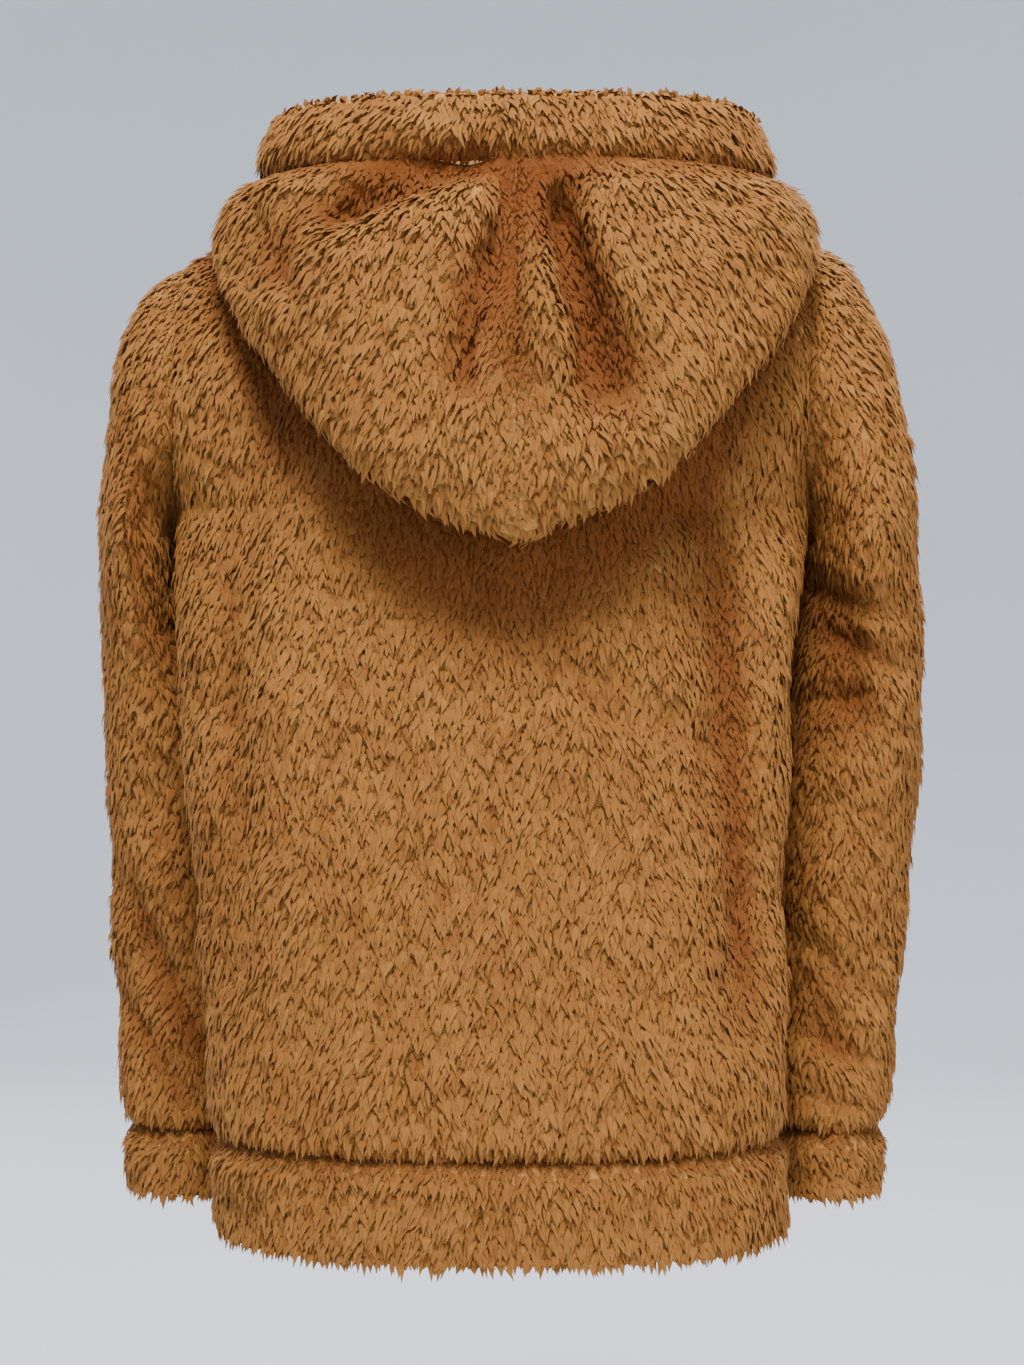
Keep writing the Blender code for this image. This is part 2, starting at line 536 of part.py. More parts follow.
def make_wall(name, wall, backing=BACKING, colour=CLOTH_COLOUR):
    """Lofts a closed wall between the pile's outer face and the backing's inner face of a grid."""
    shape = bmesh.new()
    grids = []
    for grid in (wall.ground + wall.pile[..., None] * wall.normals, wall.ground - backing * wall.normals):
        grids.append([[shape.verts.new(point) for point in row] for row in grid])
    outer, inner = grids
    rows, columns = wall.ground.shape[:2]
    spans = [(first, (first + 1) % columns) for first in range(columns if wall.closed else columns - 1)]
    for low in range(rows - 1):
        high = low + 1
        for first, second in spans:
            shape.faces.new([outer[low][first], outer[low][second], outer[high][second], outer[high][first]])
            shape.faces.new([inner[low][first], inner[high][first], inner[high][second], inner[low][second]])
        if not wall.closed:
            add_rim(shape, outer[low][0], outer[high][0], inner[high][0], inner[low][0])
            add_rim(shape, outer[high][-1], outer[low][-1], inner[low][-1], inner[high][-1])
    for first, second in spans:
        add_rim(shape, outer[0][second], outer[0][first], inner[0][first], inner[0][second])
        add_rim(shape, outer[-1][first], outer[-1][second], inner[-1][second], inner[-1][first])
    mesh = bpy.data.meshes.new(name)
    shape.to_mesh(mesh)
    shape.free()
    mesh.shade_smooth()
    mesh.set_sharp_from_angle(angle=math.radians(50))
    return make_object(name, mesh, colour)


def split_rows(ground, normals, row):
    """Cuts a grid in two at a row that both parts keep."""
    return (ground[: row + 1], normals[: row + 1]), (ground[row:], normals[row:])


def cloth_walls():
    """All the cloth pieces, by name, cut from three surfaces: the body, the sleeves and the hood."""
    grids = body_grounds()
    for side, hole in ARMHOLES.items():
        grids["sleeve_" + side] = sleeve_ground(hole, SLEEVES[side], SLEEVE_FOLDS[side])
    normals = {name: normals_of(grid, name.startswith("sleeve")) for name, grid in grids.items()}
    grids["hood"] = hood_ground([(grids[name], normals[name]) for name in grids])
    outer_layer = slice(HOOD_ROWS.index(7), None)
    grids["hood"][outer_layer] = folded(grids["hood"], HOOD_FOLDS)[outer_layer]
    normals["hood"] = normals_of(grids["hood"])
    share_seam_normals(grids, normals)
    turns, _ = hood_turns()
    added = ~np.isin(np.abs(turns), NECK_TURNS_BACK)
    between = np.flatnonzero((np.abs(turns) < NECK_TURNS_BACK[-2]) & added)
    rim = normals["hood"][0]
    rim[between] = unit(rim[between - 1] + rim[between + 1])
    walls = {}
    hem_row = len(HEM_ROWS) - 1
    hems = []
    for name, seams in {
        "front_left_panel": ("bottom", "top", "last"),
        "back_panel": ("bottom", "top", "first", "last"),
        "front_right_panel": ("bottom", "top", "first"),
    }.items():
        hem, (ground, normal) = split_rows(grids[name], normals[name], hem_row)
        hems.append(hem)
        edges = [side for side in ("first", "last") if side not in seams]
        walls[name] = Wall(ground, normal, pile_on(ground, seams, edges), seams, False)
    hem_ground, hem_normals = (
        np.concatenate([hems[0][part], hems[1][part][:, 1:-1], hems[2][part]], axis=1) for part in (0, 1)
    )
    pile = pile_on(hem_ground, ["top"], ["bottom", "first", "last"])
    walls["hem_band"] = Wall(hem_ground, hem_normals, pile, ("top",), False)
    for side in ARMHOLES:
        name = "sleeve_" + side
        cuff, (ground, normal) = split_rows(grids[name], normals[name], len(CUFF_ROWS) - 1)
        pile = pile_on(ground, ["bottom", "top"])
        walls[name] = Wall(ground, normal, pile, ("bottom", "top"), True)
        pile = pile_on(cuff[0], ["top"], ["bottom"])
        walls["cuff_" + side] = Wall(*cuff, pile, ("top",), True)
    hood, band = split_rows(grids["hood"], normals["hood"], len(HOOD_ROWS) - 1)
    middle = hood[0].shape[1] // 2
    for name, part, free, seam in (
        ("hood_left_panel", slice(0, middle + 1), "first", "last"),
        ("hood_right_panel", slice(middle, None), "last", "first"),
    ):
        ground, normal = hood[0][:, part], hood[1][:, part]
        pile = pile_on(ground, ["bottom", "top", seam], [free])
        pile[UNDER_ROWS] = np.minimum(pile[UNDER_ROWS], PRESSED_PILE)
        walls[name] = Wall(ground, normal, pile, ("bottom", "top", seam), False)
    pile = pile_on(band[0], ["bottom"], ["top", "first", "last"])
    walls["hood_band"] = Wall(*band, pile, ("bottom",), False)
    return {name: drawn_in(pressed_at_armpits(wall)) for name, wall in walls.items()}


def zip_path(walls, side, column_numbers):
    """Points and normals down a front's edge columns, from the hem's edge up to the chain's end."""
    panel = walls[f"front_{side}_panel"]
    hem = walls["hem_band"]
    first = 0 if side == "left" else -1
    picked = [first + number * (1 if side == "left" else -1) for number in column_numbers]
    ground = np.concatenate([hem.ground[:-1, picked], panel.ground[1:CHAIN_TOP_ROW, picked]])
    normals = np.concatenate([hem.normals[:-1, picked], panel.normals[1:CHAIN_TOP_ROW, picked]])
    return ground, normals


def make_zip(walls):
    """Tapes behind the fronts' edges, with the chain of teeth as one strip between them."""
    for side, sign in (("left", 1), ("right", -1)):
        ground, normals = zip_path(walls, side, (0, 1))
        edge = ground[:, :1].copy()
        edge[..., 0] = sign * (CHAIN_HALF_WIDTH + SEAM_GAP)
        ground = np.concatenate([edge, ground], axis=1)
        normals = np.concatenate([normals[:, :1], normals], axis=1)
        ground = ground - normals * (BACKING + SEAM_GAP + TAPE_THICKNESS / 2)
        if side == "right":
            ground, normals = ground[:, ::-1], normals[:, ::-1]
        half = np.full(ground.shape[:2], TAPE_THICKNESS / 2)
        tape = Wall(ground, normals, half, (), False)
        make_wall(f"zip_tape_{side}", tape, backing=TAPE_THICKNESS / 2, colour=TAPE_COLOUR)
    ground, normals = zip_path(walls, "left", (0,))
    ground = ground - normals * (BACKING + SEAM_GAP + TAPE_THICKNESS / 2)
    strip = np.concatenate([ground, ground], axis=1)
    strip[..., 0] = np.array([-CHAIN_HALF_WIDTH, CHAIN_HALF_WIDTH])
    flat = np.concatenate([normals, normals], axis=1)
    flat[..., 0] = 0
    half = np.full(strip.shape[:2], CHAIN_THICKNESS / 2)
    make_wall("zip_chain", Wall(strip, unit(flat), half, (), False), CHAIN_THICKNESS / 2, METAL_COLOUR)
    return strip.mean(axis=1)


def add_box(shape, low, high):
    """Adds a box between two corners to a bmesh."""
    low, high = np.array(low), np.array(high)
    place = Matrix.Translation((low + high) / 2) @ Matrix.Diagonal((*(high - low), 1))
    bmesh.ops.create_cube(shape, size=1, matrix=place)


def box_mesh(name, box, place):
    """Mesh of a box given by two corners, moved to a place."""
    shape = bmesh.new()
    add_box(shape, *box)
    shape.transform(place)
    mesh = bpy.data.meshes.new(name)
    shape.to_mesh(mesh)
    shape.free()
    return mesh


def make_from_boxes(name, boxes, cuts, place, colour):
    """Unites boxes into one metal piece at a place, then takes the cuts out of it."""
    made = make_object(name, box_mesh(name, boxes[0], place), colour, roughness=0.35, metallic=1.0)
    for operation, others in (("UNION", boxes[1:]), ("DIFFERENCE", cuts)):
        for box in others:
            cutter = bpy.data.objects.new(name + "_part", box_mesh(name + "_part", box, place))
            bpy.data.collections["parts_of_pieces"].objects.link(cutter)
            cutter.hide_render = True
            cutter.display_type = "WIRE"
            boolean = made.modifiers.new("boolean", "BOOLEAN")
            boolean.operation = operation
            boolean.object = cutter


def make_slider(chain):
    """Slider at the top of the closed chain, and the pull that hangs from its bridge."""
    along = unit(chain[-1] - chain[-2])
    centre = chain[-1] + along * POST_HALF_HEIGHT * 0.5
    tilt = math.atan2(-along[1], along[2])
    place = Matrix.Translation(centre) @ Matrix.Rotation(tilt, 4, "X")
    back = SLOT / 2 + PLATE
    front = -back
    bridge_top = front - BRIDGE_GAP - BRIDGE_BAR
    post_low = POST_HALF_HEIGHT
    post_high = POST_HALF_HEIGHT * 3
    wide, tall = SLIDER_HALF_WIDTH, SLIDER_HALF_HEIGHT
    arm = BRIDGE_HALF_HEIGHT - BRIDGE_BAR
    narrow, inset = BRIDGE_HALF_WIDTH, PLATE / 4
    slider = [
        ((-wide, front, -tall), (wide, front + PLATE, tall)),
        ((-wide, back - PLATE, -tall), (wide, back, tall)),
        ((-POST_HALF_WIDTH, front + inset, post_low), (POST_HALF_WIDTH, back - inset, post_high)),
        ((-narrow, bridge_top, arm), (narrow, front + inset, BRIDGE_HALF_HEIGHT)),
        ((-narrow, bridge_top, -BRIDGE_HALF_HEIGHT), (narrow, front + inset, -arm)),
        ((-narrow, bridge_top, -arm - inset), (narrow, bridge_top + BRIDGE_BAR, arm + inset)),
    ]
    make_from_boxes("zip_slider", slider, [], place, METAL_COLOUR)
    half = PULL_THICKNESS / 2
    hinge = place @ Matrix.Translation((0, front - BRIDGE_GAP / 2, 0))
    wide, inner = PULL_HALF_WIDTH, PULL_HALF_WIDTH - PULL_SIDE
    pull = ((-wide, -half, -PULL_LENGTH), (wide, half, half))
    eye = ((-inner, -PULL_THICKNESS, -PULL_EYE), (inner, PULL_THICKNESS, -half))
    make_from_boxes("zip_pull", [pull], [eye], hinge, METAL_COLOUR)


def main():
    for old in list(bpy.data.objects):
        bpy.data.objects.remove(old)
    for name in ("hooded_jacket", "parts_of_pieces"):
        bpy.context.scene.collection.children.link(bpy.data.collections.new(name))
    walls = cloth_walls()
    for name, wall in walls.items():
        make_wall(name, wall)
    make_slider(make_zip(walls))


main()
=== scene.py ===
"""Zip-up hooded jacket of long-pile fleece: its cloth, fur, seams, zip and stage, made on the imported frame.

The cloth's surfaces come from the same tables and sections as the part's solids. Each piece is a thin sheet
with the knit inside and the fur's roots outside, and the fur is many small locks that grow from it.
"""

import json
import math
from collections import namedtuple

import bmesh
import bpy
import numpy as np
from bpy.props import FloatProperty, FloatVectorProperty, IntProperty, PointerProperty
from mathutils import Matrix, Vector

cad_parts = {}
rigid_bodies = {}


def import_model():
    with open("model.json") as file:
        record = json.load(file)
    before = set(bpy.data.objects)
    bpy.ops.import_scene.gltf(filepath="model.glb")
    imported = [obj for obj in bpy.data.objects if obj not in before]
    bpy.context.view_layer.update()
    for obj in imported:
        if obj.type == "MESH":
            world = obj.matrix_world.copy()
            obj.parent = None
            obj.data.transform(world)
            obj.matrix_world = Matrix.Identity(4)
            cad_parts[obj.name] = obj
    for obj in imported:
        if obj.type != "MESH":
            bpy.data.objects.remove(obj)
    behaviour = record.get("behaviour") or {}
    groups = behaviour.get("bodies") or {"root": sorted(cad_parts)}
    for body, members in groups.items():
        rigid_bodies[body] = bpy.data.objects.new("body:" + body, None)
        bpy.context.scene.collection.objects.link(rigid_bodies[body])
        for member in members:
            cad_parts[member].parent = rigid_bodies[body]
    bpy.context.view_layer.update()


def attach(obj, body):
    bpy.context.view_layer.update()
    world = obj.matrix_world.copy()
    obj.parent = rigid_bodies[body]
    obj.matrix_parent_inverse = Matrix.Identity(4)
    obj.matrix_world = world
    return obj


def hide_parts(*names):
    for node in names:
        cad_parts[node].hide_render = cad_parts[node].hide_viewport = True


bl_info = {
    "name": "Hooded fleece jacket",
    "version": (1, 0, 0),
    "blender": (4, 5, 0),
    "location": "View3D > Sidebar > Jacket",
    "description": "Makes a zip-up hooded jacket of long-pile fleece",
    "category": "Add Mesh",
}

for left_over in list(bpy.data.objects):
    bpy.data.objects.remove(left_over)
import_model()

# Cloth
BACKING = 0.0015  # knitted ground of the fleece
PILE = 0.0065  # height of the fur over the ground
SEAM_PILE = 0.0022  # pile left standing where a seam pinches it
EDGE_PILE = 0.0045  # pile on the last row of a free edge, which rounds it
PRESSED_PILE = 0.0030  # pile that lies pressed between two layers
SEAM_GAP = 0.0003  # clearance between two pieces at a seam
SEAM_MARGIN = 0.012  # distance from a seam at which the pile stands up again
LAYER_GAP = 0.0030  # clearance between the hood and what it lies on
SHARED_POINT = 0.0001  # points nearer than this are one point of a seam
SIDES = {"bottom": (0, ...), "top": (-1, ...), "first": (slice(None), 0), "last": (slice(None), -1)}

# Body below the armpits. Half widths and depths are to the ground's outer face, and tuck is the share by
# which the front half of a section is narrower, where the sleeves hang.
BodySection = namedtuple("BodySection", "z left right side_y back_y front_y tuck")
BODY = [
    BodySection(-0.656, 0.1825, 0.176, 0.012, 0.135, -0.116, 0.06),
    BodySection(-0.597, 0.1835, 0.1735, 0.018, 0.135, -0.117, 0.11),
    BodySection(-0.5, 0.188, 0.172, 0.026, 0.131, -0.118, 0.15),
    BodySection(-0.42, 0.195, 0.171, 0.03, 0.127, -0.121, 0.17),
    BodySection(-0.33, 0.204, 0.175, 0.03, 0.124, -0.127, 0.17),
    BodySection(-0.26, 0.206, 0.18, 0.026, 0.121, -0.129, 0.12),
    BodySection(-0.205, 0.208, 0.188, -0.004, 0.119, -0.126, 0.00),
]
SQUARENESS = 0.82  # exponent of the sections: 1 is an ellipse, and less is squarer
TUCK_FROM = 78  # degrees from the centre back at which the tuck starts
TUCK_OVER = 40  # degrees over which it grows
HEM_ROWS = (-0.656, -0.644, -0.626, -0.608, -0.597)  # from the hem's edge to its seam
BODY_ROWS = (-0.586, -0.556, -0.521, -0.486, -0.451, -0.416, -0.381, -0.346, -0.311, -0.276, -0.241)

# Neck seam and shoulders
NECK_HALF_WIDTH = 0.088
NECK_BACK_Y = 0.078
NECK_FRONT_Y = -0.082
NECK_TURNS = (0, 60, 90, 135, 180)
NECK_HEIGHTS = (-0.006, 0.0, -0.004, -0.042, -0.078)
SHOULDER_BULGE = 0.004
PANEL_SHARES = (0.0, 0.35, 0.7, 1.0)  # shares of the way up from the armpit for the two profiles
BACK_PROFILE = ((0.119, -0.205), (0.119, -0.145), (0.107, -0.068), (0.078, -0.006))
FRONT_PROFILE = ((-0.126, -0.205), (-0.117, -0.158), (-0.101, -0.112), (-0.082, -0.078))

# Armholes, each a plane egg at x, and the fan of sections by which the sleeve turns down under the armpit
Armhole = namedtuple("Armhole", "side x centre_y half_depth top bottom")
ARMHOLES = {
    "left": Armhole(1, 0.208, -0.004, 0.058, -0.043, -0.205),
    "right": Armhole(-1, 0.188, -0.004, 0.058, -0.03, -0.205),
}
EGG = 0.3  # how much fuller the armhole is below than above
ARMPIT_RADIUS = 0.012
FAN_DEGREES = (90, 74, 58, 43, 29, 17, 8, 0)

# Sleeves below the fan. Inner and outer are distances from the middle of the jacket.
SleeveSection = namedtuple("SleeveSection", "z inner outer centre_y half_depth")
SLEEVES = {
    "left": [
        SleeveSection(-0.217, 0.22, 0.259, -0.004, 0.062),
        SleeveSection(-0.26, 0.214, 0.2625, -0.02, 0.061),
        SleeveSection(-0.33, 0.195, 0.2635, -0.038, 0.058),
        SleeveSection(-0.4, 0.185, 0.2635, -0.048, 0.054),
        SleeveSection(-0.48, 0.179, 0.262, -0.054, 0.05),
        SleeveSection(-0.56, 0.178, 0.259, -0.056, 0.046),
        SleeveSection(-0.607, 0.179, 0.256, -0.056, 0.044),
        SleeveSection(-0.648, 0.18, 0.2535, -0.056, 0.043),
    ],
    "right": [
        SleeveSection(-0.217, 0.2, 0.259, -0.004, 0.062),
        SleeveSection(-0.26, 0.196, 0.2645, -0.015, 0.062),
        SleeveSection(-0.33, 0.185, 0.267, -0.03, 0.059),
        SleeveSection(-0.4, 0.18, 0.264, -0.042, 0.055),
        SleeveSection(-0.48, 0.176, 0.2585, -0.05, 0.051),
        SleeveSection(-0.56, 0.175, 0.253, -0.054, 0.046),
        SleeveSection(-0.607, 0.175, 0.248, -0.055, 0.044),
        SleeveSection(-0.648, 0.176, 0.2455, -0.055, 0.043),
    ],
}
CUFF_ROWS = (-0.648, -0.637, -0.618, -0.607)
SLEEVE_ROWS = (-0.596, -0.568, -0.54, -0.511, -0.482, -0.453, -0.424)
SLEEVE_ROWS += (-0.394, -0.364, -0.334, -0.303, -0.272, -0.243)
ROUND_BELOW = 0.12  # how far below the armpit the sleeve's section has become round

# Hood, lying back on the shoulders. A row is a place round the neck, in degrees from the centre back. The
# fold is the hood's lower edge and the brim its opening. Stand and roll are the height and reach with which
# the cloth rises from the neck seam and falls back. Hang is how far the under layer comes down to the fold.
HoodSection = namedtuple(
    "HoodSection", "turn stand roll fold_x fold_y fold_z round hang brim_x brim_y brim_z flare puff"
)
HOOD = [
    HoodSection(0, 0.019, 0.01, 0.000, 0.152, -0.229, 0.02, 0.02, 0.000, 0.14, 0.034, 0.016, 0.016),
    HoodSection(25, 0.019, 0.01, 0.078, 0.147, -0.192, 0.019, 0.019, 0.07, 0.136, 0.034, 0.015, 0.015),
    HoodSection(45, 0.019, 0.01, 0.128, 0.122, -0.135, 0.017, 0.017, 0.113, 0.116, 0.035, 0.014, 0.012),
    HoodSection(60, 0.018, 0.01, 0.158, 0.091, -0.089, 0.014, 0.014, 0.137, 0.088, 0.036, 0.013, 0.009),
    HoodSection(75, 0.017, 0.009, 0.172, 0.052, -0.049, 0.012, 0.011, 0.149, 0.052, 0.036, 0.012, 0.006),
    HoodSection(90, 0.014, 0.009, 0.164, 0.011, -0.016, 0.011, 0.007, 0.147, 0.016, 0.035, 0.01, 0.004),
    HoodSection(110, 0.008, 0.008, 0.14, -0.036, -0.021, 0.009, 0.002, 0.131, -0.032, 0.03, 0.008, 0.002),
    HoodSection(135, 0.003, 0.006, 0.101, -0.074, -0.036, 0.007, -0.004, 0.098, -0.076, 0.018, 0.006, 0.000),
    HoodSection(160, 0.001, 0.004, 0.05, -0.098, -0.056, 0.005, -0.006, 0.052, -0.106, 0.002, 0.004, 0.000),
    HoodSection(180, 0.001, 0.003, 0.006, -0.103, -0.064, 0.004, -0.006, 0.006, -0.114, -0.006, 0.004, 0.000),
]
HOOD_SHIFT = -0.006  # the hood lies this far to the wearer's right
SHIFT_FROM = 150  # degrees from the centre back within which it does
SHIFT_OVER = 60  # degrees over which the shift grows
ROLL_SHARES = ((0.35, 0.75), (1.05, 1.0), (2.0, 0.45))  # of roll and stand, for the points over the roll
PUFF_SHARE = 0.55  # share of the way from the fold to the band's seam at which the hood stands out most
RISE = (0.35, 0.25)  # share of the clearance at the neck seam, and what each row above it adds
BAND_HEIGHT = 0.036
# Rows of the hood, counted in points of its section: 0 is the neck seam, 6 the fold and 9 the band's seam
HOOD_ROWS = (0, 1, 2, 3, 3.4, 3.8, 4.2, 4.6, 5, 5.5, 6, 6.5, 7, 7.25, 7.5, 7.75, 8, 8.25, 8.5, 8.7, 8.87, 9)
BAND_ROWS = (9.3, 9.62, 9.88, 10)
UNDER_ROWS = slice(1, 10)  # rows of the hood that lie pressed on the back and the shoulders

# Turns of the panels' columns: where they meet the neck seam, and where they run down the body
NECK_TURNS_BACK = (0, 9, 20, 32, 45, 60, 75, 90)
NECK_TURNS_FRONT = (176, 169, 158, 145, 132, 118, 104, 90)
BODY_TURNS_BACK = (0, 4, 12, 20, 28, 36, 44, 52, 62, 72, 81, 87, 90)
BODY_TURNS_FRONT = (178, 176.3, 170, 163, 155, 147, 139, 130, 118, 107, 98, 93, 90)
SHOULDER_SHARES = (0.25, 0.5, 0.75, 0.92, 1.0)
UPPER_SHARES = (0.0, 0.08, 0.17, 0.26, 0.35, 0.44, 0.53, 0.62, 0.71, 0.8, 0.88, 0.95, 1.0)

# Zip
ZIP_HALF_GAP = 0.0065  # from the middle to each front panel's edge
CHAIN_HALF_WIDTH = 0.0028
CHAIN_THICKNESS = 0.0024
TAPE_THICKNESS = 0.001
CHAIN_TOP_ROW = -3  # row of the front panels, counted from the neck seam, at which the chain ends
SLIDER_HALF_WIDTH = 0.0045
SLIDER_HALF_HEIGHT = 0.006
PLATE = 0.0012
SLOT = 0.0036
POST_HALF_WIDTH = 0.0022
POST_HALF_HEIGHT = 0.0018
BRIDGE_HALF_WIDTH = 0.0009
BRIDGE_HALF_HEIGHT = 0.0032
BRIDGE_GAP = 0.0026
BRIDGE_BAR = 0.0011
PULL_THICKNESS = 0.0012
PULL_HALF_WIDTH = 0.003
PULL_LENGTH = 0.024
PULL_SIDE = 0.0012  # width of the pull on each side of its eye
PULL_EYE = 0.0048  # from the hinge to the far edge of the pull's eye

# Large folds, as lines in the plane of X and Z on the side that face gives: 1 is the back and -1 the front.
# A trough has a negative height.
FOLD_END = 0.3  # share of a fold's length over which each of its ends runs out
FOLD_TURN = 1.6  # over 1, so that a fold keeps its height on cloth that turns a little away from its face
Fold = namedtuple("Fold", "face start end width height")


def folds(*rows):
    """Folds from rows in millimetres: face, X and Z of the start and of the end, width and height."""
    made = []
    for face, *sizes in rows:
        x, z, end_x, end_z, width, height = (size / 1000 for size in sizes)
        made.append(Fold(face, (x, z), (end_x, end_z), width, height))
    return made


BODY_FOLDS = folds(
    (1, -118, -165, -152, -520, 20, -13), (1, -160, -200, -170, -560, 16, 5), (1, 120, -180, 135, -420, 26, 5),
    (1, 160, -160, 168, -500, 20, -6), (1, -20, -300, -110, -350, 18, -3), (-1, 135, -190, 115, -500, 22, -7),
    (-1, -125, -190, -110, -520, 22, -7), (-1, 75, -330, 65, -560, 22, 4), (-1, -75, -300, -65, -520, 22, 4),
)
SLEEVE_FOLDS = {
    "left": folds(
        (1, 238, -125, 226, -300, 13, -6), (1, 250, -455, 198, -570, 12, -7), (1, 258, -500, 215, -590, 11, -5),
        (-1, 235, -360, 205, -430, 16, -7), (-1, 245, -490, 200, -560, 14, -6),
    ),
    "right": folds(
        (1, -196, -235, -222, -330, 16, -9), (1, -190, -345, -240, -330, 14, -5),
        (1, -192, -500, -222, -560, 14, -6), (-1, -235, -350, -205, -420, 16, -7),
        (-1, -245, -480, -200, -555, 14, -6),
    ),
}
HOOD_FOLDS = folds(
    (1, -6, -10, -10, -150, 13, -9), (1, -30, -20, -68, -150, 20, -14), (1, 10, 0, 110, -36, 15, -11),
    (1, 12, -50, 30, -135, 14, -8), (1, 142, -30, 134, -78, 13, -7),
)

Wall = namedtuple("Wall", "ground normals pile seams closed")


def through(stations, values, at):
    """Reads a smooth curve through values, given at rising stations, at the places at."""
    stations = np.asarray(stations, float)
    values = np.asarray(values, float)
    at = np.clip(np.asarray(at, float), stations[0], stations[-1])
    slopes = np.gradient(values, stations, axis=0)
    index = np.clip(np.searchsorted(stations, at) - 1, 0, len(stations) - 2)
    span = stations[index + 1] - stations[index]
    t = (at - stations[index]) / span
    extra = (None,) * (values.ndim - 1)
    span = span[(...,) + extra]
    t = t[(...,) + extra]
    rise = slopes[index] * span
    fall = slopes[index + 1] * span
    from_start = (1 + 2 * t) * (1 - t) ** 2 * values[index] + t * (1 - t) ** 2 * rise
    return from_start + t**2 * (3 - 2 * t) * values[index + 1] - t**2 * (1 - t) * fall


def column(table, key, name, at):
    """Reads one named column of a table of sections at the places at of its key column."""
    rows = sorted(table, key=lambda row: getattr(row, key))
    return through([getattr(row, key) for row in rows], [getattr(row, name) for row in rows], at)


def columns_at(table, at):
    """Reads all the columns of a table but its first, which is the key."""
    key, *names = table[0]._fields
    return {name: column(table, key, name, at) for name in names}


def ease(value):
    """Goes smoothly from 0 to 1 as value does."""
    value = np.clip(value, 0, 1)
    return value * value * (3 - 2 * value)


def unit(vectors):
    """Scales vectors to a length of 1."""
    return vectors / np.maximum(np.linalg.norm(vectors, axis=-1, keepdims=True), 1e-9)


def normals_of(ground, closed=False):
    """Outward unit normals of a grid of points, whose rows go up and whose columns go by rising turn."""
    along = np.gradient(ground, axis=0)
    if closed:
        across = np.roll(ground, -1, axis=1) - np.roll(ground, 1, axis=1)
    else:
        across = np.gradient(ground, axis=1)
    return unit(np.cross(across, along))


def fold_depth(ground, normals, folds):
    """How far the folds that face a grid's way move it along its normals."""
    depth = np.zeros(ground.shape[:2])
    for fold in folds:
        start = np.array(fold.start)
        run = np.array(fold.end) - start
        place = ground[..., (0, 2)] - start
        along = (place @ run) / (run @ run)
        reach = np.linalg.norm(place - np.clip(along, 0, 1)[..., None] * run, axis=-1)
        facing = ease(normals[..., 1] * fold.face * FOLD_TURN)
        taper = ease(along / FOLD_END + 0.5) * ease((1 - along) / FOLD_END + 0.5)
        depth += fold.height * np.exp(-((reach / fold.width) ** 2)) * taper * facing
    return depth


def folded(ground, folds, closed=False):
    """Moves the ground, but not its borders, along its normals into the folds."""
    normals = normals_of(ground, closed)
    depth = fold_depth(ground, normals, folds)
    depth[[0, -1]] = 0
    if not closed:
        depth[:, [0, -1]] = 0
    return ground + depth[..., None] * normals


def body_point(turn, z):
    """Ground of the body below the armpits. Turn is in degrees from the centre back to the wearer's right."""
    turn, z = np.broadcast_arrays(np.asarray(turn, float), np.asarray(z, float))
    angle = np.radians(turn)
    read = columns_at(BODY, z)
    half = np.where(angle > 0, read["right"], read["left"])
    half = half * (1 - read["tuck"] * ease((np.abs(turn) - TUCK_FROM) / TUCK_OVER))
    depth = np.where(np.cos(angle) > 0, read["back_y"] - read["side_y"], read["side_y"] - read["front_y"])
    across = np.sign(np.sin(angle)) * np.abs(np.sin(angle)) ** SQUARENESS
    back = np.sign(np.cos(angle)) * np.abs(np.cos(angle)) ** SQUARENESS
    return np.stack([-half * across, read["side_y"] + depth * back, z], axis=-1)


def neck_point(turn):
    """Neck seam, at a turn in degrees from the centre back to the wearer's right."""
    turn = np.asarray(turn, float)
    angle = np.radians(turn)
    depth = np.where(np.cos(angle) > 0, NECK_BACK_Y, -NECK_FRONT_Y)
    z = through(NECK_TURNS, NECK_HEIGHTS, np.abs(turn))
    return np.stack([-NECK_HALF_WIDTH * np.sin(angle), depth * np.cos(angle), z], axis=-1)


def armhole_loop(hole):
    """Closed armhole: up the back from the armpit, and down the front."""
    share = np.array(UPPER_SHARES)
    height = np.sin(np.pi * share / 2) / 2 + (1 - np.cos(np.pi * share)) / 4
    depth = np.sin(np.pi * share) * (1 + EGG * np.cos(np.pi * share))
    height = np.concatenate([height, height[-2:0:-1]])
    depth = np.concatenate([depth, -depth[-2:0:-1]])
    z = hole.bottom + (hole.top - hole.bottom) * height
    return np.stack([height * 0 + hole.side * hole.x, hole.centre_y + hole.half_depth * depth, z], axis=-1)


def shoulder_line(hole):
    """Shoulder seam from beyond the neck to the shoulder's tip, at the columns' shares."""
    share = np.array(SHOULDER_SHARES)[:, None]
    neck = neck_point(-90.0 * hole.side)
    tip = np.array([hole.side * hole.x, hole.centre_y, hole.top])
    line = neck + (tip - neck) * share
    line[:, 2] += SHOULDER_BULGE * np.sin(np.pi * share[:, 0])
    return line


def upper_patch(bottom, top, middle, side):
    """Fills the four curves of half a panel above the armpit. Columns run from the middle to the side."""
    share = np.array(UPPER_SHARES)[:, None, None]
    toward_side = ease(np.linspace(0, 1, len(bottom)))[None, :, None]
    middle_bow = middle[:, None] - ((1 - share) * middle[0] + share * middle[-1])
    side_bow = side[:, None] - ((1 - share) * side[0] + share * side[-1])
    return (1 - share) * bottom + share * top + (1 - toward_side) * middle_bow + toward_side * side_bow


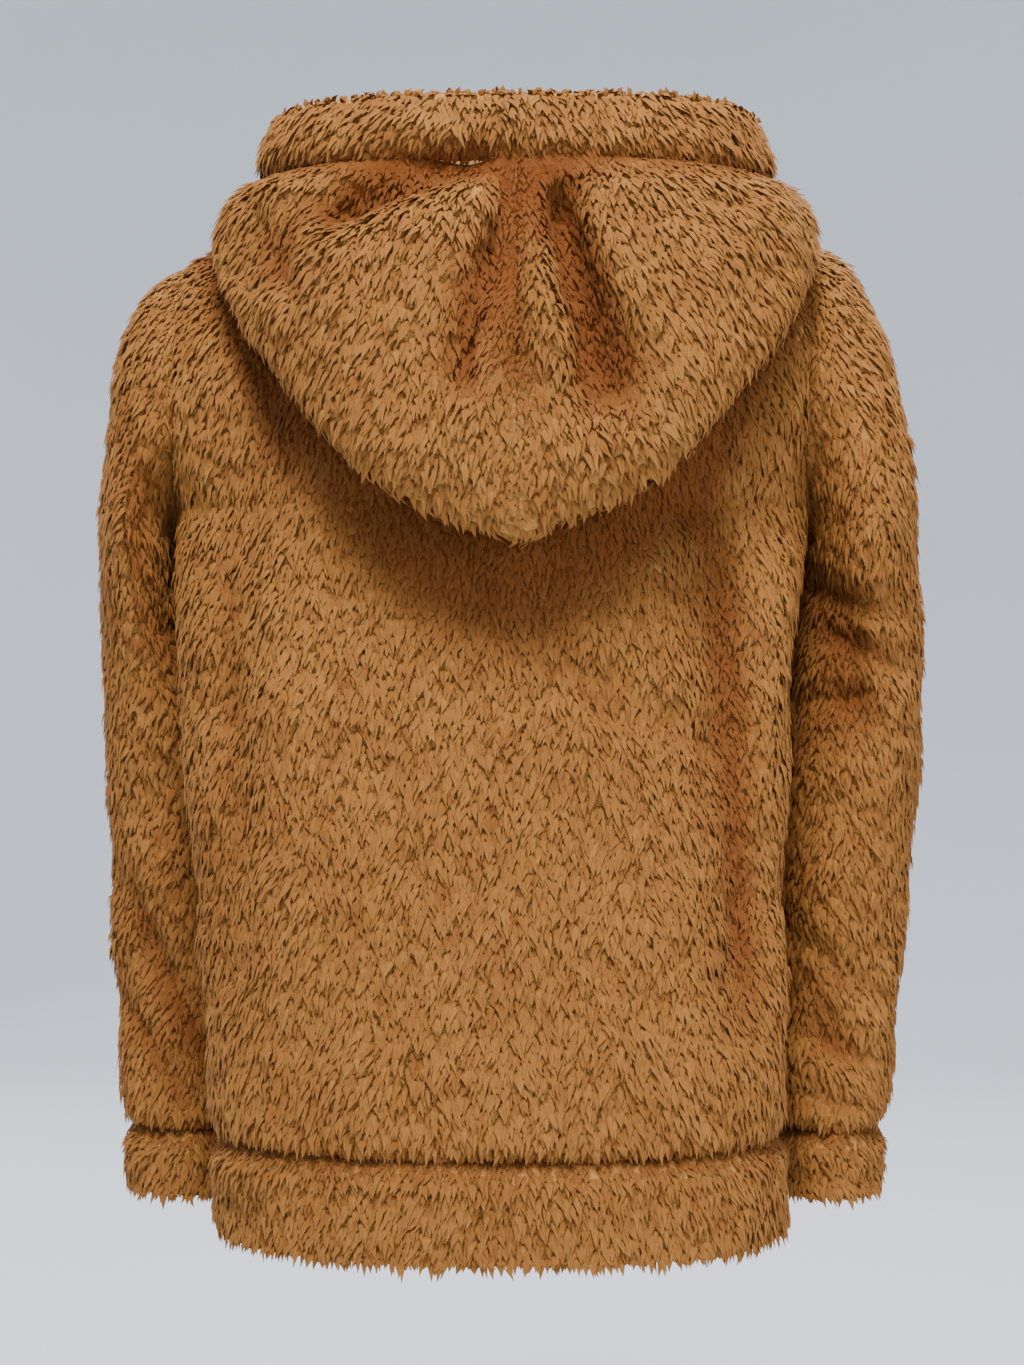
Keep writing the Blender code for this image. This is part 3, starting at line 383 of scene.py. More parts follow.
def half_panel(hole, back):
    """Ground of half the body from the hem to the neck, with columns from the middle to the side."""
    turns = -hole.side * np.array(BODY_TURNS_BACK if back else BODY_TURNS_FRONT, float)
    neck_turns = -hole.side * np.array(NECK_TURNS_BACK if back else NECK_TURNS_FRONT, float)
    heights = np.array(HEM_ROWS + BODY_ROWS + (hole.bottom,))
    lower = body_point(turns[None], heights[:, None])
    top = np.concatenate([neck_point(neck_turns), shoulder_line(hole)])
    share = np.array(UPPER_SHARES)
    profile = through(PANEL_SHARES, BACK_PROFILE if back else FRONT_PROFILE, share)
    middle = np.stack([share * 0, profile[:, 0], profile[:, 1]], axis=-1)
    if not back:
        lower[:, 0, 0] = hole.side * ZIP_HALF_GAP
        middle[:, 0] = hole.side * ZIP_HALF_GAP
        top[0, 0] = hole.side * ZIP_HALF_GAP
    loop = armhole_loop(hole)
    side = loop[: len(share)] if back else np.roll(loop[::-1], 1, axis=0)[: len(share)]
    return np.concatenate([lower[:-1], upper_patch(lower[-1], top, middle, side)])


def body_grounds():
    """Grounds of the back and the two fronts, each from the hem's edge to the neck."""
    left_hole, right_hole = ARMHOLES["left"], ARMHOLES["right"]
    back = np.concatenate([half_panel(left_hole, True)[:, :0:-1], half_panel(right_hole, True)], axis=1)
    return {
        "back_panel": folded(back, BODY_FOLDS),
        "front_left_panel": folded(half_panel(left_hole, False), BODY_FOLDS),
        "front_right_panel": folded(half_panel(right_hole, False)[:, ::-1], BODY_FOLDS),
    }


def sleeve_ground(hole, sections, folds):
    """Ground of a sleeve and its cuff, from the cuff's edge up to the armhole."""
    loop = armhole_loop(hole)
    pivot_z = hole.bottom - ARMPIT_RADIUS
    reach = loop[:, 2] - pivot_z
    egg = (loop[:, 1] - hole.centre_y) / hole.half_depth
    height = (loop[:, 2] - hole.bottom) / (hole.top - hole.bottom)
    steps = len(UPPER_SHARES) - 1
    share = np.array(UPPER_SHARES + UPPER_SHARES[-2:0:-1])
    round_height = (1 - np.cos(np.pi * share)) / 2
    round_depth = np.sin(np.pi * share) * np.where(np.arange(len(share)) > steps, -1, 1)
    rings = []
    for z in CUFF_ROWS + SLEEVE_ROWS:
        read = columns_at(sections, z)
        mix = ease((pivot_z - z) / ROUND_BELOW)
        across = height + (round_height - height) * mix
        depth = egg + (round_depth - egg) * mix
        x = read["inner"] + (read["outer"] - read["inner"]) * across
        y = read["centre_y"] + read["half_depth"] * depth
        rings.append(np.stack([hole.side * x, y, x * 0 + z], axis=-1))
    top = sections[0]
    for degrees in FAN_DEGREES:
        angle = math.radians(degrees)
        tall = hole.top - pivot_z
        wide = top.outer - hole.x
        outer = 1 / math.hypot(math.cos(angle) / tall, math.sin(angle) / wide)
        ring_reach = ARMPIT_RADIUS + (reach - ARMPIT_RADIUS) * (outer - ARMPIT_RADIUS) / (tall - ARMPIT_RADIUS)
        half_depth = hole.half_depth + (top.half_depth - hole.half_depth) * math.sin(angle)
        x = hole.x + ring_reach * math.sin(angle)
        y = hole.centre_y + half_depth * egg
        z = pivot_z + ring_reach * math.cos(angle)
        rings.append(np.stack([hole.side * x, y, z], axis=-1))
    ground = np.array(rings)
    if hole.side > 0:
        ground = np.roll(ground[:, ::-1], 1, axis=1)
    return folded(ground, folds, closed=True)


def hood_turns():
    """Turns of the hood's columns and the neck seam's points at them.

    Behind, all but the last of the back panel's columns have another between them, halfway along the seam.
    """
    coarse = np.array(NECK_TURNS_BACK, float)
    between = (coarse[1:-1] + coarse[:-2]) / 2
    behind = np.sort(np.concatenate([coarse, between]))
    turns = np.concatenate([behind, np.array(NECK_TURNS_FRONT[-2::-1], float)])
    neck = neck_point(turns)
    neck[-1, 0] = -ZIP_HALF_GAP
    last = 2 * len(between)
    neck[1:last:2] = (neck[0 : last - 1 : 2] + neck[2 : last + 1 : 2]) / 2
    mirrored = neck[:0:-1] * np.array([-1, 1, 1])
    return np.concatenate([-turns[:0:-1], turns]), np.concatenate([mirrored, neck])


def hood_ground(carriers):
    """Ground of the hood and its band, from the neck seam over the roll and the fold up to the brim."""
    turns, neck = hood_turns()
    side = -np.sign(turns)
    read = columns_at(HOOD, np.abs(turns))
    shift = HOOD_SHIFT * ease((SHIFT_FROM - np.abs(turns)) / SHIFT_OVER)
    fold = np.stack([side * read["fold_x"] + shift, read["fold_y"], read["fold_z"]], axis=-1)
    brim = np.stack([side * read["brim_x"] + shift, read["brim_y"], read["brim_z"]], axis=-1)
    up = np.array([0.0, 0.0, 1.0])
    outward = unit((fold - neck) * (1, 1, 0))
    stand, roll, radius, hang, flare, puff = (
        read[name][:, None] for name in ("stand", "roll", "round", "hang", "flare", "puff")
    )
    seam = brim + outward * flare - up * BAND_HEIGHT
    rising, crest, fall = (neck + outward * roll * out + up * stand * high for out, high in ROLL_SHARES)
    inner = fold - outward * radius + up * hang
    outer = fold + outward * radius + up * radius
    puffed = outer + (seam - outer) * PUFF_SHARE + outward * puff
    points = [neck, rising, crest, fall, (fall + inner) / 2, inner, fold, outer, puffed, seam, brim]
    ground = through(range(len(points)), np.array(points), HOOD_ROWS + BAND_ROWS)
    return lying_on(ground, carriers)


def lying_on(ground, carriers):
    """Lifts the hood clear of the pile of what carries it."""
    points = np.concatenate([grid.reshape(-1, 3) for grid, _ in carriers])
    normals = np.concatenate([normal.reshape(-1, 3) for _, normal in carriers])
    for row in range(1, len(ground)):
        facing_pile = PRESSED_PILE if row in range(*UNDER_ROWS.indices(len(ground))) else PILE
        clearance = (PILE + facing_pile + LAYER_GAP) * min(1.0, RISE[0] + RISE[1] * row)
        for _ in range(4):
            offset = ground[row][:, None] - points[None]
            nearest = np.argmin(np.linalg.norm(offset, axis=-1), axis=1)
            height = (offset[np.arange(len(nearest)), nearest] * normals[nearest]).sum(axis=-1)
            ground[row] += np.maximum(clearance - height, 0)[:, None] * normals[nearest]
    return ground


def share_seam_normals(grids, normals):
    """Gives the points that two or more grids have in common one normal, the mean of theirs."""
    sums = {}
    for name, grid in grids.items():
        for place in np.ndindex(grid.shape[:2]):
            key = tuple(np.round(grid[place] / SHARED_POINT).astype(int))
            sums.setdefault(key, []).append((name, place))
    for places in sums.values():
        if len(places) > 1:
            mean = unit(sum(normals[name][place] for name, place in places))
            for name, place in places:
                normals[name][place] = mean


def pile_on(ground, seams=(), edges=()):
    """Pile heights over a grid, pinched near seams and rounded along free edges."""
    pile = np.full(ground.shape[:2], PILE)
    for name in edges:
        pile[SIDES[name]] = EDGE_PILE
    for name in seams:
        border = ground[SIDES[name]]
        distance = np.linalg.norm(ground[:, :, None] - border, axis=-1).min(axis=-1)
        pile = np.minimum(pile, SEAM_PILE + (PILE - SEAM_PILE) * np.minimum(distance / SEAM_MARGIN, 1))
    return pile


def drawn_in(wall):
    """Draws a wall back from its seams by half the gap between two pieces."""
    ground = wall.ground.copy()
    rows = {"bottom": (0, 1), "top": (-1, -2)}
    columns = {"first": (0, 1), "last": (-1, -2)}
    for name in wall.seams:
        if name in rows:
            edge, inside = rows[name]
            border, within, normal = wall.ground[edge], wall.ground[inside], wall.normals[edge]
        else:
            edge, inside = columns[name]
            border, within, normal = wall.ground[:, edge], wall.ground[:, inside], wall.normals[:, edge]
        if wall.closed:
            along = unit(np.roll(border, -1, axis=0) - np.roll(border, 1, axis=0))
        else:
            along = unit(np.gradient(border, axis=0))
        inward = np.cross(along, normal)
        inward *= np.sign((inward * (within - border)).sum(axis=-1, keepdims=True))
        step = unit(inward) * SEAM_GAP / 2
        if name in rows:
            ground[edge] += step
        else:
            ground[:, edge] += step
    return wall._replace(ground=ground)


def split_rows(ground, normals, row):
    """Cuts a grid in two at a row that both parts keep."""
    return (ground[: row + 1], normals[: row + 1]), (ground[row:], normals[row:])


def cloth_walls():
    """All the cloth pieces, by name, cut from three surfaces: the body, the sleeves and the hood."""
    grids = body_grounds()
    for side, hole in ARMHOLES.items():
        grids["sleeve_" + side] = sleeve_ground(hole, SLEEVES[side], SLEEVE_FOLDS[side])
    normals = {name: normals_of(grid, name.startswith("sleeve")) for name, grid in grids.items()}
    grids["hood"] = hood_ground([(grids[name], normals[name]) for name in grids])
    outer_layer = slice(HOOD_ROWS.index(7), None)
    grids["hood"][outer_layer] = folded(grids["hood"], HOOD_FOLDS)[outer_layer]
    normals["hood"] = normals_of(grids["hood"])
    share_seam_normals(grids, normals)
    turns, _ = hood_turns()
    added = ~np.isin(np.abs(turns), NECK_TURNS_BACK)
    between = np.flatnonzero((np.abs(turns) < NECK_TURNS_BACK[-2]) & added)
    rim = normals["hood"][0]
    rim[between] = unit(rim[between - 1] + rim[between + 1])
    walls = {}
    hem_row = len(HEM_ROWS) - 1
    hems = []
    for name, seams in {
        "front_left_panel": ("bottom", "top", "last"),
        "back_panel": ("bottom", "top", "first", "last"),
        "front_right_panel": ("bottom", "top", "first"),
    }.items():
        hem, (ground, normal) = split_rows(grids[name], normals[name], hem_row)
        hems.append(hem)
        edges = [side for side in ("first", "last") if side not in seams]
        walls[name] = Wall(ground, normal, pile_on(ground, seams, edges), seams, False)
    hem_ground, hem_normals = (
        np.concatenate([hems[0][part], hems[1][part][:, 1:-1], hems[2][part]], axis=1) for part in (0, 1)
    )
    pile = pile_on(hem_ground, ["top"], ["bottom", "first", "last"])
    walls["hem_band"] = Wall(hem_ground, hem_normals, pile, ("top",), False)
    for side in ARMHOLES:
        name = "sleeve_" + side
        cuff, (ground, normal) = split_rows(grids[name], normals[name], len(CUFF_ROWS) - 1)
        pile = pile_on(ground, ["bottom", "top"])
        walls[name] = Wall(ground, normal, pile, ("bottom", "top"), True)
        pile = pile_on(cuff[0], ["top"], ["bottom"])
        walls["cuff_" + side] = Wall(*cuff, pile, ("top",), True)
    hood, band = split_rows(grids["hood"], normals["hood"], len(HOOD_ROWS) - 1)
    middle = hood[0].shape[1] // 2
    for name, part, free, seam in (
        ("hood_left_panel", slice(0, middle + 1), "first", "last"),
        ("hood_right_panel", slice(middle, None), "last", "first"),
    ):
        ground, normal = hood[0][:, part], hood[1][:, part]
        pile = pile_on(ground, ["bottom", "top", seam], [free])
        pile[UNDER_ROWS] = np.minimum(pile[UNDER_ROWS], PRESSED_PILE)
        walls[name] = Wall(ground, normal, pile, ("bottom", "top", seam), False)
    pile = pile_on(band[0], ["bottom"], ["top", "first", "last"])
    walls["hood_band"] = Wall(*band, pile, ("bottom",), False)
    return {name: drawn_in(wall) for name, wall in walls.items()}


def zip_path(walls, side, column_numbers):
    """Points and normals down a front's edge columns, from the hem's edge up to the chain's end."""
    panel = walls[f"front_{side}_panel"]
    hem = walls["hem_band"]
    first = 0 if side == "left" else -1
    picked = [first + number * (1 if side == "left" else -1) for number in column_numbers]
    ground = np.concatenate([hem.ground[:-1, picked], panel.ground[1:CHAIN_TOP_ROW, picked]])
    normals = np.concatenate([hem.normals[:-1, picked], panel.normals[1:CHAIN_TOP_ROW, picked]])
    return ground, normals


# How fine the scene's cloth is, and how it is creased and uneven
FINE = 0.0080  # spacing of the cloth's points
SEAM_DRAW = 0.0022  # how far a seam draws the cloth in
BORDER_FADE = 0.016  # distance from a border over which a crease or a wave runs out
ROOT_HEIGHT = 0.0016  # height of the matted roots over the backing
WAVES = ((0.075, 0.0016, 11), (0.028, 0.0006, 12))  # wavelength, height and seed of the cloth's unevenness
VALLEY_DEPTH = {"body": 0.0200, "sleeve": 0.0130, "hood": 0.0120}  # depth at which a fold has its full painted shade
GROOVE_WIDTH = 0.0065  # half width of the groove along the seam of a band
GROOVE_DRAW = 0.0050  # its depth
GROOVE_SHADE = 0.85  # how much of the folds' painted shade it has
GROOVE_ON_TOP = ("hem_band", "cuff_left", "cuff_right", "hood_left_panel", "hood_right_panel")  # else at the bottom
GROOVE_START = 0.4  # share of the border's fade at which a groove starts at a free edge
GROOVE_PRESS = 0.45  # share of the pile that the groove takes away
SEEN_ROWS = 3  # rows over which the hood's under layer goes over to the layer that is seen
KINDS = {"cuff": "sleeve", "hood": "hood", "sleeve": "sleeve"}  # kind of each piece's folds, where it isn't body
HOOD_EDGE = (-0.255, 6.0)  # height of the hood's lower edge at its middle, and its rise by the square of X
HOOD_SHADE = (0.055, 0.8)  # how far below that edge the fur gets painted shadow, and how much
NAP_FLOW = {"hood": 5.0}  # how strongly the nap turns away from the middle, where it isn't as below
NAP_SPREAD = 0.9

CREASES = {
    "body": folds(
        (1, -30, -295, -105, -330, 8, -4), (1, -45, -325, -125, -345, 7, -3), (1, -90, -150, -112, -215, 11, -6),
        (1, 145, -120, 118, -250, 11, -5), (1, 172, -230, 160, -420, 10, -4), (1, -135, -240, -145, -500, 10, -5),
        (-1, 150, -215, 85, -270, 12, -5), (-1, -150, -215, -85, -275, 12, -5), (-1, 130, -420, 60, -445, 12, -4),
        (-1, -140, -440, -70, -470, 12, -4),
    ),
    "sleeve": folds(
        (1, -195, -245, -235, -262, 8, -6), (1, -200, -275, -250, -300, 9, -5), (1, -190, -320, -232, -318, 8, -5),
        (1, -190, -470, -240, -520, 9, -4), (1, -190, -535, -235, -560, 8, -5), (1, -195, -575, -225, -590, 8, -4),
        (1, 250, -430, 195, -560, 9, -4), (1, 252, -520, 205, -595, 8, -4), (1, 225, -170, 205, -330, 10, -4),
        (-1, -240, -330, -205, -365, 10, -5), (-1, 240, -340, 205, -375, 10, -5),
        (-1, -238, -545, -205, -580, 9, -4), (-1, 238, -550, 205, -585, 9, -4),
    ),
    "hood": folds(
        (1, -3, 4, -9, -175, 8, -14), (1, -26, -14, -58, -145, 12, -19), (1, -16, -20, -34, -130, 8, 6),
        (1, -50, -30, -88, -110, 10, 4), (1, 4, -45, 24, -145, 8, -13), (1, 4, -4, 102, -38, 9, -12),
        (1, 20, 4, 110, -12, 10, 4), (1, 118, -20, 130, -78, 10, -5), (1, -12, -35, -26, -125, 10, 6),
    ),
}

# Fur. Lock lengths, widths and spacings are the settings' own.
ROOT_WIDTH = 0.75  # width of a lock at its root against its middle
LOCK_RIDGE = 0.55  # height of the ridge along a lock against half its width
CLUMP = 0.0085  # wavelength at which locks draw together
CLUMP_STRETCH = (1.0, 1.0, 0.42)  # clumps are longer down the cloth than across it
CLUMP_SEED = 31
DRAW = 0.12  # how far the tips draw together, as a share of a lock's length
NAP_CHANCE = 0.12  # spread of the nap's turn from lock to lock, in radians
SWIRLS = ((0.050, 0.14, 21), (0.014, 0.12, 22))  # wavelength, turn in radians and seed of the nap's swirls
FUR_COLOURS = "root_colour", "body_colour", "tip_colour"
PATCHES = ((0.060, 41), (0.018, 42))  # wavelength and seed of the fur's uneven tone
STAND = (0.45, 0.55)  # how tall a lock is on no pile, and what full pile adds
CROUCH = 0.25  # share of its height that a lock loses in a deep fold
LENGTH_CHANGE = (0.10, 0.14)  # how much clumps and chance change a lock's length
LENGTH_LIMITS = (0.55, 1.5)
WIDTH_OF_STAND = (0.55, 0.45)  # how wide a lock of no height is, and what full height adds
WIDTHS, LIFTS, REACHES, CURL = (0.75, 1.2), (0.32, 0.47), (0.72, 0.92), 0.08  # ranges, and the spread of the curl
TONE_AND_SHADE = (0.66, 0.20, 0.12, 0.30)  # mean tone, and how much patches, chance and clumps change it: the clumps' part is painted shade where they part
STRAND_START, STRAND_WIDTH = 40, 0.5  # range of the strands' places on a lock, and how much of them it spans

# Fur round a free edge
EDGE_LENGTHS, EDGE_WIDTHS, EDGE_LIFTS, EDGE_REACHES = (0.35, 0.65), (0.75, 1.15), (0.45, 0.65), (0.4, 0.7)
EDGE_CURL = 0.1
EDGE_TONE = (0.62, 0.16)  # mean and spread
EDGE_CROWD = 1.1  # locks to a lock's spacing
EDGE_TURN = 1.2  # how much the locks in the middle turn past the edge
EDGE_INSET = 0.0015  # how far inside the edge they are rooted
EDGE_LIE = (0.5, (0, 0, -0.8), 0.45)  # how much they lie past the edge, how far they hang, and by chance
EDGE_LINES = (0.9, 0.5, 0.1, -0.35, -0.8)  # lines of locks round a free edge: 1 stands outwards and -1 inwards
FREE_EDGES = {"hem_band": 0, "cuff_left": 0, "cuff_right": 0, "hood_band": -1}  # and the row of each one's edge
HOOD_SHADOW = (-0.200, 1.1)  # height at which the hood hides the back, at its middle, and its rise to the side
HIDDEN_SHARE = 0.25  # share of the locks that is grown where another layer hides them
HIDDEN_REACH = 0.125  # how far from the middle the hood hides the back

# Materials
STRANDS = (5.0, 1.4, 1.0)  # how fine a lock's strands are across and along it
SHADE_BETWEEN_STRANDS = (0.60, 0.50, 0.42, 1.0)  # painted shade that darkens the fur between strands
RIB, COURSE = 0.0019, 0.0015  # width and height of a stitch of the knit
WARP, WEFT = 0.0012, 0.0009  # spacing of the tapes' threads

# Zip's finish
TAPE_FINE = 0.004  # spacing of the tapes' points
TOOTH_ROOT = -0.0009  # how far a tooth reaches past the middle
TOOTH_HALF = 0.62  # half height of a tooth against the pitch
TOOTH_TAPER = (0.75, 0.001)  # what its height comes to on its outer side, and where that starts
TOOTH_ENDS = (0.002, 0.001)  # from the ends of the chain to the first tooth and the last
FLANGE = 0.0009  # thickness of the slider's flanges
SLIDER_ROUND, SMALL_ROUND, FINE_ROUND = 0.0005, 0.0004, 0.0003  # radii of its edges
OVERLAP = 0.0003  # how far its parts stand in each other
PULL_SIDES = 32
PULL_SQUARE = 0.7  # how square the pull's outline is: 0 is a circle
RIM_ANGLE = 1.0  # least angle in radians of the edges of the pull that are rounded
SHARP = math.radians(40)  # angle above which an edge of the zip stays sharp

# Stage
FLOOR_PROFILE = ((0.0, 0.0), (3.0, 0.0), (3.6, 0.16), (4.1, 0.6), (4.3, 1.3), (4.3, 4.5))
FLOOR_STEPS = 64
AIM = Vector((0, 0, -0.32))
LAMPS = (  # name, place, size and power
    ("key", (0.1, 1.6, 2.3), 0.8, 128.0),
    ("fill", (-1.9, 2.2, 0.2), 2.0, 26.0),
    ("front_key", (-0.8, -2.0, 1.9), 1.4, 80.0),
    ("front_fill", (2.0, -1.9, 0.2), 2.0, 30.0),
    ("top", (0.0, 0.0, 2.4), 1.6, 25.0),
)
WORLD_LIGHT = 0.42

Sheet = namedtuple("Sheet", "ground normals pile valley hidden size closed")
Lock = namedtuple("Lock", "along faces across")


def fine_places(grid, axis, spacing, closed=False):
    """Fractional rows or columns about a spacing apart, with every whole one among them."""
    grid = np.swapaxes(grid, 0, axis)
    after = np.roll(grid, -1, axis=0) if closed else grid[1:]
    lengths = np.linalg.norm(after - grid[: len(after)], axis=-1).mean(axis=1)
    steps = np.maximum(1, np.ceil(lengths / spacing)).astype(int)
    parts = [index + np.arange(count) / count for index, count in enumerate(steps)]
    return np.concatenate(parts if closed else [*parts, [len(steps)]])


def finer(values, rows, columns, closed):
    """Reads a grid of values smoothly at fractional rows and columns."""
    across = np.swapaxes(through(range(len(values)), values, rows), 0, 1)
    count = len(across)
    if closed:
        wrapped = np.concatenate([across[-2:], across, across[:3]])
        read = through(range(-2, count + 3), wrapped, columns)
    else:
        read = through(range(count), across, columns)
    return np.swapaxes(read, 0, 1)


def arcs(grid, axis, closed=False):
    """Mean length along a grid's axis, up to each row or column."""
    grid = np.swapaxes(grid, 0, axis)
    if closed:
        grid = np.concatenate([grid, grid[:1]])
    steps = np.linalg.norm(np.diff(grid, axis=0), axis=-1).mean(axis=1)
    return np.concatenate([[0], np.cumsum(steps)])


def ripples(points, wavelength, seed, count=10):
    """Smooth noise from seeded waves, about -1 to 1, and the way in which it rises."""
    source = np.random.default_rng(seed)
    ways = unit(source.normal(size=(count, 3)))
    pace = 2 * np.pi / wavelength * source.uniform(0.7, 1.4, count)
    angles = points @ (ways * pace[:, None]).T + source.uniform(0, 2 * np.pi, count)
    return np.sin(angles).sum(axis=-1) / math.sqrt(count), np.cos(angles) @ ways / math.sqrt(count)


def lengths_along(line):
    """Length along a line of points, up to each of them."""
    return np.concatenate([[0], np.cumsum(np.linalg.norm(np.diff(line, axis=0), axis=-1))])


def border_fade(ground, closed):
    """Goes from 0 at a grid's borders to 1 a little way in."""
    height = arcs(ground, 0)
    fade = np.minimum(height, height[-1] - height)[:, None] * np.ones(ground.shape[:2])
    if not closed:
        width = arcs(ground, 1)
        fade = np.minimum(fade, np.minimum(width, width[-1] - width)[None])
    return ease(fade / BORDER_FADE)


def groove_along(name, wall, ground, seen):
    """The groove along a band's seam, from 0 to 1. It runs out at free edges."""
    up, across = arcs(ground, 0), arcs(ground, 1)
    row = -1 if name in GROOVE_ON_TOP else 0
    groove = np.exp(-(((up - up[row]) / GROOVE_WIDTH) ** 2))[:, None] * seen
    for side, distance in (("first", across), ("last", across[-1] - across)):
        if not wall.closed and side not in wall.seams:
            groove = groove * ease(distance / BORDER_FADE - GROOVE_START)
    return groove


def cloth_sheets(walls):
    """Every cloth piece as a fine grid, with its creases and its unevenness."""
    kinds = {"body": BODY_FOLDS, "hood": HOOD_FOLDS, "sleeve": SLEEVE_FOLDS["left"] + SLEEVE_FOLDS["right"]}
    sheets = {}
    for name, wall in walls.items():
        kind = KINDS.get(name.split("_")[0], "body")
        rows = fine_places(wall.ground, 0, FINE)
        columns = fine_places(wall.ground, 1, FINE, wall.closed)
        ground = finer(wall.ground, rows, columns, wall.closed)
        pile = np.clip(finer(wall.pile, rows, columns, wall.closed), SEAM_PILE / 2, PILE)
        normals = normals_of(ground, wall.closed)
        fade = border_fade(ground, wall.closed)
        seen = np.ones(ground.shape[:2])
        if kind == "hood" and name != "hood_band":
            seen = ease((rows - UNDER_ROWS.stop) / SEEN_ROWS)[:, None] * seen
        depth = fold_depth(ground, normals, CREASES[kind]) * fade * seen
        # This is painted shade: the fur is darker and redder in the troughs of the folds and creases.
        valley = -(fold_depth(ground, normals, kinds[kind]) * seen + depth) / VALLEY_DEPTH[kind]
        for wavelength, height, seed in WAVES:
            depth = depth + ripples(ground, wavelength, seed)[0] * height * fade * seen
        pinch = 1 - np.clip((pile - SEAM_PILE) / (PILE - SEAM_PILE), 0, 1)
        groove = groove_along(name, wall, ground, seen)
        depth = depth - SEAM_DRAW * pinch**2 * seen - GROOVE_DRAW * groove
        pile = pile * (1 - GROOVE_PRESS * groove)
        # Painted shade along the groove of a band's seam.
        valley = valley + GROOVE_SHADE * groove
        ground = ground + depth[..., None] * normals
        hidden = 1 - seen
        if name == "back_panel":
            x, z = ground[..., 0], ground[..., 2]
            low = HOOD_SHADOW[0] + HOOD_SHADOW[1] * np.abs(x - HOOD_SHIFT)
            hidden = ((z > low) & (np.abs(x) < HIDDEN_REACH)).astype(float)
            # Painted shadow that the hood casts on the back, below its lower edge.
            below = HOOD_EDGE[0] + HOOD_EDGE[1] * x**2 - z
            valley = valley + HOOD_SHADE[1] * ease(1 - below / HOOD_SHADE[0])
        size = (arcs(ground, 1, wall.closed), arcs(ground, 0))
        normals = normals_of(ground, wall.closed)
        sheets[name] = Sheet(ground, normals, pile, ease(valley), hidden, size, wall.closed)
    return sheets


def operator(operation, swapped=False):
    """An operator of Value that adds a Math node. It is swapped where the value is the second side."""

    def act(value, other):
        sides = (other, value) if swapped else (value, other)
        return value.recipe.node("ShaderNodeMath", {"operation": operation}, dict(enumerate(sides)))

    return act


class Value:
    """A socket of a material, on which arithmetic adds Math nodes."""

    def __init__(self, recipe, socket):
        self.recipe = recipe
        self.socket = socket

    __add__, __radd__ = operator("ADD"), operator("ADD", True)
    __sub__, __rsub__ = operator("SUBTRACT"), operator("SUBTRACT", True)
    __mul__ = operator("MULTIPLY")


class Recipe:
    """The nodes of one material, which end in a Principled shader."""

    def __init__(self, name, **constants):
        self.material = bpy.data.materials.new(name)
        self.material.use_nodes = True
        self.tree = self.material.node_tree
        self.shader = self.tree.nodes["Principled BSDF"]
        for key, value in constants.items():
            self.shader.inputs[key.replace("_", " ")].default_value = value

    def join(self, value, socket):
        if isinstance(value, Value):
            self.tree.links.new(value.socket, socket)
        else:
            socket.default_value = value

    def node(self, kind, settings, sockets, output=0):
        """Adds a node: its settings first, then its sockets' values or links. Gives one output."""
        made = self.tree.nodes.new(kind)
        for key, value in settings.items():
            if key == "stops":
                elements = made.color_ramp.elements
                elements[0].position, elements[0].color = value[0]
                elements[-1].position, elements[-1].color = value[-1]
                for place, colour in value[1:-1]:
                    elements.new(place).color = colour
            else:
                setattr(made, key, value)
        for key, value in sockets.items():
            self.join(value, made.inputs[key])
        return Value(self, made.outputs[output])

    def place(self):
        """The place in the piece's own frame."""
        return self.node("ShaderNodeTexCoord", {}, {}, 3)

    def parts(self, kind, whole):
        """The three parts of a vector or a colour."""
        return [Value(self, output) for output in self.node(kind, {}, {0: whole}).socket.node.outputs[:3]]

    def wave(self, phase):
        return self.node("ShaderNodeMath", {"operation": "SINE"}, {0: phase})

    def mix(self, share, first, second, blend="MIX"):
        """Mixes two colours."""
        settings = {"data_type": "RGBA", "blend_type": blend}
        return self.node("ShaderNodeMix", settings, {0: share, 6: first, 7: second}, 2)

    def noise(self, vector, scale, detail=2.0, roughness=0.5):
        sockets = {"Vector": vector, "Scale": scale, "Detail": detail, "Roughness": roughness}
        return self.node("ShaderNodeTexNoise", {}, sockets)

    def scaled(self, vector, scale):
        """Stretches a vector by a scale along each axis."""
        return self.node("ShaderNodeVectorMath", {"operation": "MULTIPLY"}, {0: vector, 1: scale})

    def bump(self, height, distance, strength=1.0):
        return self.node("ShaderNodeBump", {}, {"Height": height, "Distance": distance, "Strength": strength})

    def finish(self, **sockets):
        for key, value in sockets.items():
            self.join(value, self.shader.inputs[key.replace("_", " ")])
        return self.material


def opaque(colour):
    """A colour with full alpha."""
    return (*colour, 1.0)


def mixed(first, second, share):
    """A colour part of the way between two."""
    return tuple(a + (b - a) * share for a, b in zip(first, second))


